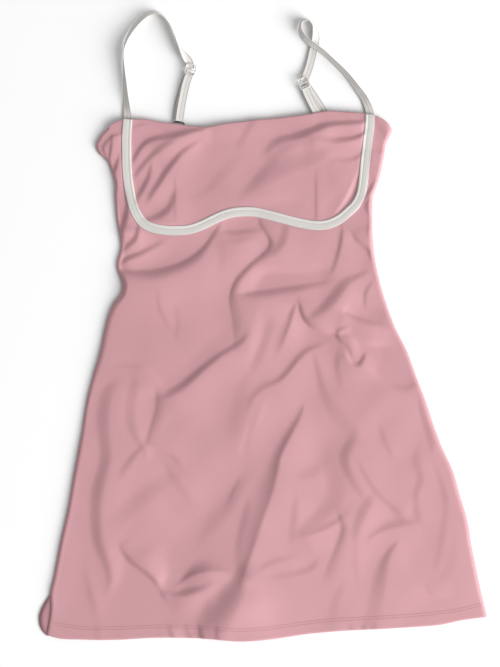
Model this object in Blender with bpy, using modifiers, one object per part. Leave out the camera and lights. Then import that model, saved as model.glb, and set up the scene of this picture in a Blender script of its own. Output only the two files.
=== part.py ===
"""Tennis dress, laid flat on its back with the front up.

Frame: +X to the right of the front view, +Y towards the straps, +Z up out of the surface it lies on.
The origin is at the middle of its outline, on that surface. Tables are in millimetres in this frame,
and every mesh is built in metres.

The front is two panels: a bust panel, framed by an ivory binding, and an A-line body whose sides rise as
wings to the neckline. Both follow one relief, the sum of a soft puff, rounded side folds and the largest
creases. The back lies flat under them, and two adjustable straps run from the front to the back.
"""

import math
from collections import namedtuple

import bpy
import numpy as np

MM = 0.001

# Cloth and trim, in millimetres.
BACK_WALL = 1.2
FRONT_WALL = 1.2
LAYER_GAP = 0.4
SEAM_GAP = 0.5
PUFF = 3.4  # height of the front over the back, away from the edges
SIDE_ROUND = 14.0  # how far in the rounded side fold reaches
HEM_PUFF = 0.35  # share of the puff that is left at the hem
HEM_REACH = 60.0
NECK_LIFT = 2.6  # the neckline rolls up over the strap ends
NECK_REACH = 26.0
TRIM_WIDTH = 11.5
TRIM_WALL = 1.1
TRIM_LIFT = 0.8
STRAP_WIDTH = 10.5
STRAP_WALL = 1.2
STRAP_CLEAR = 0.3  # height of the lowest strap edge
BACK_INSET = 2.0
BACK_NECK_DROP = 16.0
SLIDER_LENGTH = 15.0
SLIDER_WIDTH = 14.0
SLIDER_WIRE = 1.7
RING_LENGTH = 8.0
RING_WIDTH = 14.5
RING_WIRE = 1.7

# Cells of the panels, across the left wing, the middle and the right wing, and up the body and the bust.
LEFT_CELLS, MIDDLE_CELLS, RIGHT_CELLS = 5, 38, 5
BODY_ROWS = 42
BUST_ROWS = 14

# How the creases are rounded.
CREASE_RIDGE = 0.6  # share of the rise that stands above the cloth around it, the rest being the trough
CREASE_SPREAD = 1.2  # how far a ridge or a trough reaches, as a share of the flank's width
CREASE_SPREAD_LEAST = 8.0
CREASE_BLEND = 7.0  # length over which its bends are rounded
CREASE_ENDS = 0.12  # share of its length over which each end fades
HEM_SHARE = 0.4  # share of the creases' height that is left at the hem
TOUCH_SOFTNESS = 0.6  # rounds the front where a trough meets the back

# The back's outline follows the front's between these heights and widths.
CORNER_TOP = -300.0
LEFT_TOP, RIGHT_TOP = 236.0, 242.0
NECK_FROM, NECK_TO = -160.0, 125.0
RIGHT_CORNER_TOP = -360.0
RIGHT_CORNER_LIFT = 3.0

# Outline of the front, each edge from its lower or left end.
LEFT_SIDE = [(-271, -387), (-266, -355), (-266, -333), (-262.5, -318), (-253.8, -273), (-243.8, -228),
             (-236, -183), (-227.5, -138), (-220, -93), (-212.5, -63), (-203.8, -33), (-197.5, -3),
             (-193.8, 11.6), (-187.5, 26.6), (-177.5, 41.6), (-176, 50), (-179, 60), (-182.5, 71.6),
             (-177.5, 101.6), (-180, 116.6), (-182.5, 131.6)]
LEFT_WING = [(-182.5, 131.6), (-183.8, 146.6), (-185, 161.6), (-185, 176.6), (-188.8, 191.6),
             (-192, 201), (-197, 208), (-205.5, 216), (-208.5, 224.6), (-203.8, 235.5), (-194.8, 246)]
RIGHT_SIDE = [(280, -364.6), (276, -348), (272.5, -333), (266, -303), (260, -273), (255, -243),
              (246, -213), (237.5, -183), (223.8, -153), (212.5, -123), (202.5, -93), (191, -63),
              (180, -33), (165, -3), (153.8, 27), (145, 57), (139, 86), (136, 121), (135.7, 142)]
RIGHT_WING = [(135.7, 142), (137, 162), (141, 173), (145.4, 187), (148.9, 203), (151, 214),
              (153.5, 228), (158, 237), (160.5, 245), (157.5, 251.6)]
HEM = [(-271, -387), (-258.8, -390.9), (-228.8, -393), (-183.8, -393.4), (-138.8, -391), (-93.8, -391),
       (-63.8, -392), (-26, -394.6), (11, -392), (56, -386), (101, -382), (146, -379.6), (191, -377),
       (221, -374.6), (251, -368.4), (280, -364.6)]
NECK_LEFT = [(-194.8, 246), (-184, 254), (-174.8, 257.3), (-168.8, 257.5)]
NECK_MIDDLE = [(-168.8, 257.5), (-140, 256.5), (-128.8, 254), (-108.8, 251.6), (-88.8, 249),
               (-68.8, 247.9), (-48.8, 251.6), (-28.8, 254), (-8.8, 256.6), (11, 257.9), (31, 260.4),
               (51, 262.9), (71, 266.6), (81, 267.9), (101, 266.6), (121, 265.4), (133.8, 263.5)]
NECK_RIGHT = [(133.8, 263.5), (141, 261.6), (151, 256.6), (157.5, 251.6)]

# The binding's centre line: down the left arm, along the wave under the bust, up the right arm.
ARM_LEFT = [(-168.8, 257.5), (-170.2, 240), (-170.4, 215), (-169.6, 192), (-167.5, 173), (-163.8, 155),
            (-158, 139)]
WAVE = [(-158, 139), (-149.5, 127.5), (-138.5, 121.8), (-123, 118.8), (-105.5, 118.2), (-90, 120),
        (-77, 124.6), (-64, 130.8), (-50, 137.2), (-37, 140.8), (-24, 142), (-10, 141.5), (0, 139.4),
        (16, 135.4), (34, 130.5), (50, 126.9), (64, 124.8), (75, 124.9), (86.4, 127.8), (97, 133.5),
        (107, 142)]
ARM_RIGHT = [(107, 142), (116.8, 152.4), (122.6, 165), (125.3, 181), (127, 197), (128.7, 213),
             (131, 231), (133, 247), (133.8, 263.5)]

# The back's lower left corner turns out past the front's.
BACK_CORNER = [(-262, -322), (-266.5, -336), (-273.8, -348), (-280, -363), (-280, -373), (-276, -383),
               (-270.5, -388.5), (-262, -389)]

# The largest creases, each the steep flank between a soft ridge and a soft trough. A stop is x and y of the
# flank's middle, its width and its rise. The ridge lies on the side towards RIDGE_SIDE.
RIDGE_SIDE = (0.88, -0.47)
CREASES = {
    "bust upper left": [(-76, 237, 12, 1.0), (-104, 230, 12, 2.4), (-129, 224, 12, 3.2),
                        (-147, 215, 12, 2.6), (-157, 200, 12, 1.0)],
    "bust left": [(-92, 220, 12, 0.8), (-109, 204, 12, 2.0), (-122, 188, 12, 2.2), (-136, 168, 12, 2.0),
                  (-146, 152, 12, 0.8)],
    "bust upper right": [(16, 230, 12, 1.2), (36, 237, 12, 2.6), (54, 247, 12, 3.4), (74, 252, 12, 3.8),
                         (99, 253, 12, 2.4), (121, 257, 12, 0.8)],
    "bust middle": [(66, 232, 18, 1.4), (24, 222, 22, 3.2), (-11, 207, 25, 4.0), (-39, 188, 25, 3.2),
                    (-64, 164, 22, 1.2)],
    "waist left": [(-184, 62, 13, 3.0), (-154, 62, 13, 4.2), (-114, 68, 12, 3.4), (-91, 78, 12, 3.0),
                   (-76, 92, 12, 2.6), (-64, 108, 12, 2.2), (-55, 120, 12, 1.0)],
    "waist bend": [(22, 120, 12, 1.2), (26, 109, 12, 2.6), (19, 98, 12, 2.6), (4, 87, 12, 2.2),
                   (-12, 75, 12, 2.2), (-26, 62, 12, 2.2), (-35, 48, 12, 2.2), (-37, 32, 12, 2.4),
                   (-34, 12, 12, 2.8), (-29, -6, 12, 1.4)],
    "hip diagonal": [(-16, 12, 12, 1.2), (-19, -8, 12, 2.6), (-34, -22, 12, 2.2), (-51, -35, 12, 2.4),
                     (-69, -48, 12, 2.8), (-86, -65, 12, 3.4), (-104, -78, 12, 3.6), (-124, -87, 12, 2.8),
                     (-135, -93, 12, 1.0)],
    "waist level": [(-31, 30, 12, 1.2), (1, 40, 12, 3.4), (21, 42, 12, 3.6), (44, 45, 12, 2.8),
                    (66, 52, 12, 1.0)],
    "waist right": [(131, 68, 12, 0.8), (117, 58, 12, 2.4), (104, 50, 13, 3.6), (91, 40, 15, 4.0),
                    (81, 27, 13, 3.2), (71, 17, 12, 1.8), (61, 10, 12, 0.8)],
    "hip right": [(69, -23, 12, 0.8), (51, -31, 12, 1.8), (39, -43, 12, 2.0), (29, -57, 12, 2.0),
                  (16, -68, 12, 2.0), (-1, -75, 12, 1.8), (-16, -86, 12, 1.2)],
    "hip outer right": [(57, -26, 12, 0.8), (64, -43, 12, 1.8), (71, -63, 12, 2.2), (79, -83, 13, 2.2),
                        (89, -103, 20, 2.0), (104, -126, 24, 1.4)],
    "skirt left edge": [(-177, -70, 12, 0.8), (-195, -88, 12, 2.0), (-200, -118, 12, 2.6),
                        (-199, -150, 12, 2.8), (-196, -168, 12, 2.8), (-202, -193, 12, 3.4),
                        (-209, -225, 12, 4.2),
                        (-210, -248, 12, 4.2), (-206, -272, 12, 3.4), (-200, -293, 12, 3.2),
                        (-196, -313, 12, 2.4), (-198, -333, 12, 1.0)],
    "skirt left": [(-161, -68, 12, 0.8), (-164, -103, 12, 2.2), (-162, -126, 12, 2.2), (-155, -145, 12, 2.2),
                   (-145, -166, 12, 0.8)],
    "skirt left fork": [(-135, -91, 12, 1.2), (-129, -106, 12, 3.0), (-132, -123, 12, 3.0),
                        (-141, -143, 12, 0.8)],
    "lower arc": [(-166, -296, 12, 1.0), (-141, -325, 12, 2.6), (-124, -332, 12, 3.4), (-106, -336, 12, 3.6),
                  (-89, -335, 12, 2.4), (-69, -327, 12, 1.0)],
    "upper arc": [(-111, -325, 12, 1.2), (-101, -313, 12, 3.0), (-89, -303, 12, 3.8), (-74, -297, 13, 4.0),
                  (-59, -297, 12, 3.0), (-34, -307, 12, 1.0)],
    "hem fold": [(-36, -311, 12, 2.0), (-38, -331, 22, 6.0), (-44, -356, 28, 7.0), (-51, -393, 30, 6.0)],
    "long fold": [(54, -96, 12, 0.6), (44, -116, 12, 2.0), (31, -133, 12, 2.8), (22, -151, 12, 3.6),
                  (15, -168, 12, 4.0), (10, -193, 16, 4.4), (4, -223, 22, 5.0), (-4, -243, 22, 5.0),
                  (-14, -268, 19, 4.4), (-22, -300, 14, 3.4), (-29, -321, 12, 1.6)],
    "beside long fold": [(-21, -183, 14, 0.8), (-36, -210, 16, 2.4), (-51, -232, 19, 3.2),
                         (-71, -255, 20, 3.2), (-91, -278, 18, 1.0)],
    "skirt middle": [(76, -171, 15, 1.2), (81, -191, 19, 3.4), (80, -211, 21, 4.6), (72, -231, 19, 4.2),
                     (60, -247, 14, 2.6), (44, -261, 12, 0.8)],
    "skirt right": [(111, -141, 12, 0.8), (101, -155, 12, 2.4), (102, -173, 12, 2.8), (109, -190, 12, 2.0),
                    (121, -208, 12, 0.8)],
    "hem right": [(169, -270, 12, 1.0), (157, -283, 12, 1.6), (150, -298, 12, 2.8), (145, -323, 14, 3.8),
                  (141, -348, 16, 4.2), (134, -381, 17, 3.6)],
    "skirt right edge": [(241, -256, 12, 1.0), (239, -283, 12, 2.2), (231, -308, 12, 2.4),
                         (214, -323, 12, 0.8)],
}

# A strap's route: x, y and height of its centre line, and roll, which is 0 where it lies flat and 90 where
# it stands on its edge. It starts under the front's neckline and ends in its slider.
Stop = namedtuple("Stop", "x y z roll")
STRAP_ROUTES = {
    "left": [Stop(-169.4, 249, 2.3, 0), Stop(-169.8, 262, 2.4, 4), Stop(-171.0, 280, 3.2, 22),
             Stop(-172.4, 303, 5.0, 50), Stop(-173.9, 325, 6.0, 78), Stop(-173.8, 341, 6.2, 88),
             Stop(-171.2, 354, 6.0, 72), Stop(-164.6, 367, 5.4, 56), Stop(-153.5, 381, 4.8, 46),
             Stop(-144.0, 388.4, 4.8, 48), Stop(-134.4, 390.6, 5.2, 58), Stop(-125.4, 386.4, 5.8, 78),
             Stop(-117.6, 377, 6.2, 86), Stop(-110.4, 361, 6.4, 86), Stop(-104.2, 346.5, 6.2, 76),
             Stop(-98.4, 337, 5.0, 40), Stop(-93.4, 330, 4.2, 8), Stop(-90.8, 320, 4.2, 0)],
    "right": [Stop(133.6, 255, 2.3, 0), Stop(133.0, 267, 2.4, 0), Stop(127.4, 282, 3.4, 14),
              Stop(117.4, 296.4, 5.2, 34), Stop(104.6, 312.6, 6.4, 52), Stop(87.8, 329.4, 7.2, 62),
              Stop(70.6, 344.2, 8.2, 58), Stop(57.8, 353.2, 8.4, 52), Stop(49.6, 361.6, 7.4, 62),
              Stop(46.2, 370.6, 6.4, 72), Stop(48.6, 378.4, 6.0, 78), Stop(55.4, 381.2, 6.0, 78),
              Stop(62.0, 376.0, 5.8, 72), Stop(65.4, 366, 4.0, 40), Stop(65.2, 355, 2.0, 8),
              Stop(62.6, 344, 1.6, 0), Stop(59.8, 331, 1.8, 0), Stop(55.6, 317, 2.8, 0),
              Stop(50.6, 305, 4.4, 0)],
}

# The doubled end below the slider: the upper layer runs from the slider to the ring, and the lower one back.
RETURN_UPPER = {
    "left": [Stop(-91.2, 316.5, 4.5, 0), Stop(-95.9, 303, 4.3, 0), Stop(-99.8, 286, 4.2, 0),
             Stop(-102.8, 270, 4.2, 0), Stop(-104.8, 255.4, 4.2, 0)],
    "right": [Stop(51.6, 299.5, 4.5, 0), Stop(55.2, 290, 4.3, 0), Stop(60.4, 279, 4.2, 0),
              Stop(66.2, 268, 4.2, 0), Stop(71.6, 257.8, 4.2, 0)],
}
RETURN_LOWER = {
    "left": [Stop(-92.4, 315.5, 1.2, 0), Stop(-98.6, 300, 1.0, 0), Stop(-103.6, 283, 1.0, 0),
             Stop(-106.6, 267, 1.2, 0), Stop(-107.2, 255.4, 1.9, 0)],
    "right": [Stop(52.8, 301.5, 1.2, 0), Stop(60.2, 291, 1.0, 0), Stop(68.2, 279, 1.0, 0),
              Stop(75.0, 267.5, 1.2, 0), Stop(77.6, 257.8, 1.9, 0)],
}
# The tab that holds each ring, sewn down on the inside of the back.
TABS = {
    "left": [Stop(-106.4, 246.4, 2.6, 0), Stop(-107.6, 238, 2.2, 0), Stop(-109.4, 224, 2.2, 0)],
    "right": [Stop(75.8, 249.2, 2.6, 0), Stop(78.0, 241, 2.2, 0), Stop(81.4, 228, 2.2, 0)],
}
# Centre and turn, in degrees from +Y, of each slider and ring.
Fitting = namedtuple("Fitting", "x y z turn")
SLIDERS = {"left": Fitting(-90.6, 319.2, 6.3, -14), "right": Fitting(51.0, 302.4, 6.3, 26)}
RINGS = {"left": Fitting(-105.4, 250.9, 3.0, -8), "right": Fitting(74.9, 253.4, 3.0, 14)}

PINK = (0.62, 0.34, 0.38, 1.0)
PINK_INSIDE = (0.56, 0.30, 0.34, 1.0)
IVORY = (0.68, 0.66, 0.63, 1.0)
CLEAR_PLASTIC = (0.72, 0.70, 0.68, 1.0)
DARK_METAL = (0.10, 0.10, 0.10, 1.0)


# Curves

def smooth_curve(rows, count):
    """count + 1 points on a smooth curve through the rows, evenly spaced along it."""
    rows = np.array(rows, float)
    step = np.linalg.norm(np.diff(rows[:, :2], axis=0), axis=1)
    along = np.concatenate([[0.0], np.cumsum(step)])
    slope = np.gradient(rows, along, axis=0)
    place = np.linspace(0, along[-1], 40 * len(rows))
    i = np.clip(np.searchsorted(along, place, side="right") - 1, 0, len(rows) - 2)
    width = (along[i + 1] - along[i])[:, None]
    t = (place - along[i])[:, None] / width
    fine = ((2 * t**3 - 3 * t**2 + 1) * rows[i] + (t**3 - 2 * t**2 + t) * slope[i] * width
            + (3 * t**2 - 2 * t**3) * rows[i + 1] + (t**3 - t**2) * slope[i + 1] * width)
    length = np.concatenate([[0.0], np.cumsum(np.linalg.norm(np.diff(fine[:, :2], axis=0), axis=1))])
    share = np.linspace(0, length[-1], count + 1)
    return np.stack([np.interp(share, length, column) for column in fine.T], axis=1)


def smoothstep(value):
    t = np.clip(value, 0, 1)
    return t * t * (3 - 2 * t)


# Relief

OUTLINE_SIDES = [LEFT_SIDE + LEFT_WING[1:], RIGHT_SIDE + RIGHT_WING[1:]]
NECKLINE = NECK_LEFT + NECK_MIDDLE[1:] + NECK_RIGHT[1:]


def distance_to(points, route, count=160):
    """Distance from each of the points to a smooth curve through the route."""
    curve = smooth_curve(route, count)
    return np.sqrt(((points[:, None, :] - curve[None, :, :]) ** 2).sum(axis=2)).min(axis=1)


def crease_height(points, stops):
    """The crease's own height at each of the points, 0 at both ends of its route."""
    curve = smooth_curve(stops, 48)
    route, width, rise = curve[:, :2], curve[:, 2], curve[:, 3]
    way = np.gradient(route, axis=0)
    way /= np.linalg.norm(way, axis=1)[:, None]
    left = np.stack([-way[:, 1], way[:, 0]], axis=1)
    offset = points[:, None, :] - route[None, :, :]
    square = (offset ** 2).sum(axis=2)
    nearest = square.min(axis=1)
    weight = np.exp(-(square - nearest[:, None]) / (2 * CREASE_BLEND ** 2))
    weight /= weight.sum(axis=1)[:, None]
    side = (weight * (offset * left[None]).sum(axis=2)).sum(axis=1)
    side *= math.copysign(1, float((left @ np.array(RIDGE_SIDE)).sum()))
    share = weight @ np.linspace(0, 1, len(route))
    width, rise = weight @ width, weight @ rise
    spread = CREASE_SPREAD * width + CREASE_SPREAD_LEAST
    climb = smoothstep(side / width + 0.5) - 1 + CREASE_RIDGE
    fall = np.exp(-(np.maximum(np.abs(side) - width / 2, 0) / spread) ** 2)
    past = np.exp(-(np.maximum(np.sqrt(nearest) - np.abs(side) - width, 0) / spread) ** 2)
    ends = smoothstep(share / CREASE_ENDS) * smoothstep((1 - share) / CREASE_ENDS)
    return rise * climb * fall * past * ends


def front_height(points):
    """Height of the middle of the front's wall above the surface, for an array of x, y rows."""
    side = np.minimum(*(distance_to(points, edge) for edge in OUTLINE_SIDES))
    hem = distance_to(points, HEM)
    neck = distance_to(points, NECKLINE)
    inward = np.clip(side / SIDE_ROUND, 0, 1)
    rounded = np.sqrt(1 - (1 - inward) ** 2)
    puff = PUFF * rounded * (HEM_PUFF + (1 - HEM_PUFF) * smoothstep(hem / HEM_REACH))
    lift = NECK_LIFT * rounded * (1 - smoothstep(neck / NECK_REACH))
    folds = sum(crease_height(points, stops) for stops in CREASES.values())
    folds = folds * smoothstep(side / SIDE_ROUND)
    folds = folds * (HEM_SHARE + (1 - HEM_SHARE) * smoothstep(hem / HEM_REACH))
    total = puff + lift + folds
    above = 0.5 * (total + np.sqrt(total ** 2 + TOUCH_SOFTNESS))
    return BACK_WALL + LAYER_GAP + FRONT_WALL / 2 + above


# Panels

def patch(bottom, top, left, right):
    """Grid of points between four edges, each given as its points: a Coons patch."""
    s = np.linspace(0, 1, len(bottom))[None, :, None]
    t = np.linspace(0, 1, len(left))[:, None, None]
    straight = (1 - t) * bottom[None] + t * top[None] + (1 - s) * left[:, None] + s * right[:, None]
    corners = ((1 - s) * (1 - t) * bottom[0] + s * (1 - t) * bottom[-1]
               + (1 - s) * t * top[0] + s * t * top[-1])
    return straight - corners


def grid_mesh(name, grids):
    """One mesh from grids of x, y, z points in millimetres, sewn where their edges meet."""
    points, faces, first = [], [], 0
    for grid in grids:
        rows, columns, _ = grid.shape
        index = first + np.arange(rows * columns).reshape(rows, columns)
        faces += np.stack([index[:-1, :-1], index[:-1, 1:], index[1:, 1:], index[1:, :-1]],
                          axis=-1).reshape(-1, 4).tolist()
        points.append(grid.reshape(-1, 3) * MM)
        first += rows * columns
    points = np.concatenate(points)
    _, kept, place = np.unique(np.round(points * 1e5), axis=0, return_index=True, return_inverse=True)
    place = place.reshape(-1)
    mesh = bpy.data.meshes.new(name)
    mesh.from_pydata(points[kept].tolist(), [], [[int(place[i]) for i in face] for face in faces])
    mesh.shade_smooth()
    return mesh


def with_height(grid, height):
    flat = grid.reshape(-1, 2)
    return np.concatenate([flat, height(flat)[:, None]], axis=1).reshape(*grid.shape[:2], 3)


def body_grids():
    """The body below the seam, and its two wings beside the bust."""
    side = np.array([SEAM_GAP / 2, 0])
    below = np.array([0, SEAM_GAP / 2])
    seam_left = smooth_curve([LEFT_SIDE[-1], (-170, 134), WAVE[0]], LEFT_CELLS)
    seam_right = smooth_curve([WAVE[-1], (121, 144), RIGHT_SIDE[-1]], RIGHT_CELLS)
    wave = smooth_curve(WAVE, MIDDLE_CELLS)
    seam = np.concatenate([seam_left[:-1], wave, seam_right[1:]]) - below
    hem_share = len(seam) - 1
    body = patch(smooth_curve(HEM, hem_share), seam, smooth_curve(LEFT_SIDE, BODY_ROWS),
                 smooth_curve(RIGHT_SIDE, BODY_ROWS))
    body[-1] = seam
    left = patch(seam[: LEFT_CELLS + 1], smooth_curve(NECK_LEFT, LEFT_CELLS),
                 smooth_curve(LEFT_WING, BUST_ROWS), smooth_curve(ARM_LEFT[::-1], BUST_ROWS))
    left[0] = seam[: LEFT_CELLS + 1]
    left[1:, -1] -= side
    right = patch(seam[-RIGHT_CELLS - 1:], smooth_curve(NECK_RIGHT, RIGHT_CELLS),
                  smooth_curve(ARM_RIGHT, BUST_ROWS), smooth_curve(RIGHT_WING, BUST_ROWS))
    right[0] = seam[-RIGHT_CELLS - 1:]
    right[1:, 0] += side
    return [body, left, right]


def bust_grid():
    side = np.array([SEAM_GAP / 2, 0])
    above = np.array([0, SEAM_GAP / 2])
    grid = patch(smooth_curve(WAVE, MIDDLE_CELLS), smooth_curve(NECK_MIDDLE, MIDDLE_CELLS),
                 smooth_curve(ARM_LEFT[::-1], BUST_ROWS), smooth_curve(ARM_RIGHT, BUST_ROWS))
    grid[0] += above
    grid[:, 0] += side
    grid[:, -1] -= side
    return grid


def finish(obj, collection, colour, roughness=0.8, metallic=0.0):
    material = bpy.data.materials.new(obj.name)
    material.use_nodes = True
    shader = material.node_tree.nodes["Principled BSDF"]
    shader.inputs["Base Color"].default_value = colour
    shader.inputs["Roughness"].default_value = roughness
    shader.inputs["Metallic"].default_value = metallic
    obj.data.materials.append(material)
    collection.objects.link(obj)
    return obj


def panel(name, grids, wall, collection, colour):
    """A wall of even thickness about the grids' points."""
    obj = bpy.data.objects.new(name, grid_mesh(name, grids))
    shell = obj.modifiers.new("wall", "SOLIDIFY")
    shell.thickness = wall * MM
    shell.offset = 0.0
    shell.use_even_offset = False
    return finish(obj, collection, colour)


def back_outline():
    """The back's outline, a little inside the front's, with its lower left corner turned out."""
    left = [(x + BACK_INSET, y) for x, y in OUTLINE_SIDES[0] if CORNER_TOP < y < LEFT_TOP][::-1]
    right = [(x - BACK_INSET, y + RIGHT_CORNER_LIFT * (y < RIGHT_CORNER_TOP)) for x, y in OUTLINE_SIDES[1]
             if y < RIGHT_TOP]
    neck = [(x, y - BACK_NECK_DROP) for x, y in NECKLINE if NECK_FROM < x < NECK_TO][::-1]
    hem = [(x, y + BACK_INSET) for x, y in HEM[2:-1]]
    return left + BACK_CORNER + hem + right + neck


def back_panel(collection):
    """A flat outline, filled and given its wall: it lies on the surface all over."""
    curve = bpy.data.curves.new("back_panel", "CURVE")
    curve.dimensions = "2D"
    curve.fill_mode = "BOTH"
    curve.extrude = BACK_WALL / 2 * MM
    outline = back_outline()
    spline = curve.splines.new("POLY")
    spline.points.add(len(outline) - 1)
    for point, (x, y) in zip(spline.points, outline):
        point.co = (x * MM, y * MM, 0, 1)
    spline.use_cyclic_u = True
    obj = bpy.data.objects.new("back_panel", curve)
    obj.location.z = BACK_WALL / 2 * MM
    return finish(obj, collection, PINK_INSIDE)


# Binding and straps

def across(centre, width, columns):
    """Grid of points across a plan curve: rows along it, columns from its left edge to its right."""
    way = np.gradient(centre, axis=0)
    way /= np.linalg.norm(way, axis=1)[:, None]
    left = np.stack([-way[:, 1], way[:, 0]], axis=1)
    place = np.linspace(0.5, -0.5, columns + 1) * width
    return centre[:, None, :] + place[None, :, None] * left[:, None, :]


def binding(collection):
    """The binding lies on the front over its seams: the front's own points moved out."""
    lift = (FRONT_WALL + TRIM_WALL) / 2 + TRIM_LIFT
    route = ARM_LEFT + WAVE[1:] + ARM_RIGHT[1:]
    grid = across(smooth_curve(route, 76), TRIM_WIDTH, 2)
    grid = with_height(grid, lambda points: front_height(points) + lift)
    return panel("trim", [grid[:, ::-1]], TRIM_WALL, collection, IVORY)


def ribbon(name, stops, count, collection, width=STRAP_WIDTH, colour=IVORY):
    """A flat strip along its stops, turned about its own centre line by each stop's roll."""
    line = smooth_curve(stops, count)
    centre, roll = line[:, :3], np.radians(line[:, 3])
    way = np.gradient(centre, axis=0)
    way /= np.linalg.norm(way, axis=1)[:, None]
    flat = np.stack([way[:, 1], -way[:, 0], np.zeros(len(way))], axis=1)
    flat /= np.linalg.norm(flat, axis=1)[:, None]
    up = np.cross(flat, way)
    side = flat * np.cos(roll)[:, None] + up * np.sin(roll)[:, None]
    reach = width / 2 * np.abs(side[:, 2]) + STRAP_WALL / 2 * np.abs(np.cos(roll)) + STRAP_CLEAR
    centre[:, 2] = np.maximum(centre[:, 2], reach)
    place = np.array([-0.5, 0.5]) * width
    grid = centre[:, None, :] + place[None, :, None] * side[:, None, :]
    return panel(name, [grid], STRAP_WALL, collection, colour)


def frame_of_wire(name, fitting, length, width, wire, collection, colour, roughness, metallic):
    """A small rectangular frame of round wire, turned to lie along its strap."""
    turn = math.radians(fitting.turn)
    way = np.array([-math.sin(turn), math.cos(turn), 0])
    side = np.array([math.cos(turn), math.sin(turn), 0])
    centre = np.array([fitting.x, fitting.y, fitting.z])
    half_side, half_way = (width - wire) / 2, (length - wire) / 2
    corners = [(-1, -1), (1, -1), (1, 1), (-1, 1)]
    curve = bpy.data.curves.new(name, "CURVE")
    curve.dimensions = "3D"
    curve.bevel_depth = wire / 2 * MM
    curve.bevel_resolution = 1
    curve.use_fill_caps = True
    spline = curve.splines.new("POLY")
    spline.points.add(3)
    for point, (a, b) in zip(spline.points, corners):
        point.co = (*((centre + a * half_side * side + b * half_way * way) * MM), 1)
    spline.use_cyclic_u = True
    obj = bpy.data.objects.new(name, curve)
    return finish(obj, collection, colour, roughness, metallic)


def main():
    for obj in list(bpy.data.objects):
        bpy.data.objects.remove(obj)
    dress = bpy.data.collections.new("tennis_dress")
    bpy.context.scene.collection.children.link(dress)

    back_panel(dress)
    panel("front_body", [with_height(grid, front_height) for grid in body_grids()], FRONT_WALL, dress, PINK)
    panel("front_bust", [with_height(bust_grid(), front_height)], FRONT_WALL, dress, PINK)
    binding(dress)
    for side in ("left", "right"):
        ribbon(f"strap_{side}", STRAP_ROUTES[side], 48, dress)
        ribbon(f"strap_{side}_upper", RETURN_UPPER[side], 8, dress)
        ribbon(f"strap_{side}_lower", RETURN_LOWER[side], 8, dress)
        ribbon(f"tab_{side}", TABS[side], 4, dress)
        frame_of_wire(f"slider_{side}", SLIDERS[side], SLIDER_LENGTH, SLIDER_WIDTH, SLIDER_WIRE, dress,
                      CLEAR_PLASTIC, 0.3, 0.0)
        frame_of_wire(f"ring_{side}", RINGS[side], RING_LENGTH, RING_WIDTH, RING_WIRE, dress,
                      DARK_METAL, 0.35, 1.0)


main()
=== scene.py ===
"""Looks of the tennis dress, laid flat on its back with the front up.

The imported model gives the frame: +X to the right, +Y towards the straps, +Z up out of the surface. Tables
are in millimetres in that frame, apart from the creases', and meshes are built in metres. The two front
panels share one relief with the darts in it, the binding and the stitches follow it, and the straps are
ribbons swept along their stops.
"""

import logging
import math
from dataclasses import dataclass, field
from enum import Enum
from typing import Any, Callable, Sequence

import bpy
import numpy as np
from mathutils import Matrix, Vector


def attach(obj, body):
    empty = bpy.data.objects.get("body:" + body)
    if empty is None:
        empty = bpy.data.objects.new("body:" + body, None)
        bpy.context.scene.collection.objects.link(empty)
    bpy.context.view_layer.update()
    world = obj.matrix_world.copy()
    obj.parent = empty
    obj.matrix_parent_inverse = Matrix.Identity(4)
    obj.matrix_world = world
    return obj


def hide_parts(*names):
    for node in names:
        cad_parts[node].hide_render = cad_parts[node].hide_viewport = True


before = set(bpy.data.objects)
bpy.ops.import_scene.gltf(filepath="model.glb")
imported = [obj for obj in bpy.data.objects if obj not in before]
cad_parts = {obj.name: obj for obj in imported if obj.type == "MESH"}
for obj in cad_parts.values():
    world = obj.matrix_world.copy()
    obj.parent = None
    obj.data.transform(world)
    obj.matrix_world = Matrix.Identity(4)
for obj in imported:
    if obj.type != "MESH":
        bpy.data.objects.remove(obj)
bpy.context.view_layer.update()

ROOT = "root"
MM = 0.001
# Steps of a smooth curve before it is spread evenly, for each of its rows.
FINE_STEPS = 40
# Steps of a route that is moved aside, and of one that distances are taken from, and points taken at a time.
BESIDE_STEPS, DISTANCE_STEPS, DISTANCE_POINTS = 60, 200, 2000
# Points whose coordinates round to the same hundredth of a millimetre are one.
WELD_PER_MM = 100
TINY = 1e-9
Array = np.ndarray
Piece, Mesh, Finish = bpy.types.Object, bpy.types.Mesh, bpy.types.Material
Rows = Sequence[Sequence[float]]
log = logging.getLogger("tennis_dress")


class Side(Enum):
    """A strap's side of the dress, seen from above."""

    LEFT = "left"
    RIGHT = "right"


class Keen(Enum):
    """Where a crease is crisp: at the ridge's top, at its foot, or nowhere."""

    TOP = "top"
    FOOT = "foot"
    SOFT = "soft"


class Slot(Enum):
    """Material slot names, passed along but not read."""

    KNIT = "pink_knit"
    KNIT_INSIDE = "pink_knit_inside"
    IVORY = "ivory_binding"
    PLASTIC = "clear_plastic"
    METAL = "dark_metal"


# ---- outlines

LEFT_SIDE = [(-271, -387), (-266, -355), (-266, -333), (-262.5, -318), (-253.8, -273), (-243.8, -228),
             (-236, -183), (-227.5, -138), (-220, -93), (-212.5, -63), (-203.8, -33), (-197.5, -3),
             (-193.8, 11.6), (-187.5, 26.6), (-177.5, 41.6), (-176, 50), (-179, 60), (-182.5, 71.6),
             (-177.5, 101.6), (-180, 116.6), (-182.5, 131.6)]
LEFT_WING = [(-182.5, 131.6), (-183.8, 146.6), (-185, 161.6), (-185, 176.6), (-188.8, 191.6),
             (-192, 201), (-197, 208), (-205.5, 216), (-208.5, 224.6), (-203.8, 235.5), (-194.8, 246)]
RIGHT_SIDE = [(280, -364.6), (276, -348), (272.5, -333), (266, -303), (260, -273), (255, -243),
              (246, -213), (237.5, -183), (223.8, -153), (212.5, -123), (202.5, -93), (191, -63),
              (180, -33), (165, -3), (153.8, 27), (145, 57), (139, 86), (136, 121), (135.7, 142)]
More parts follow.
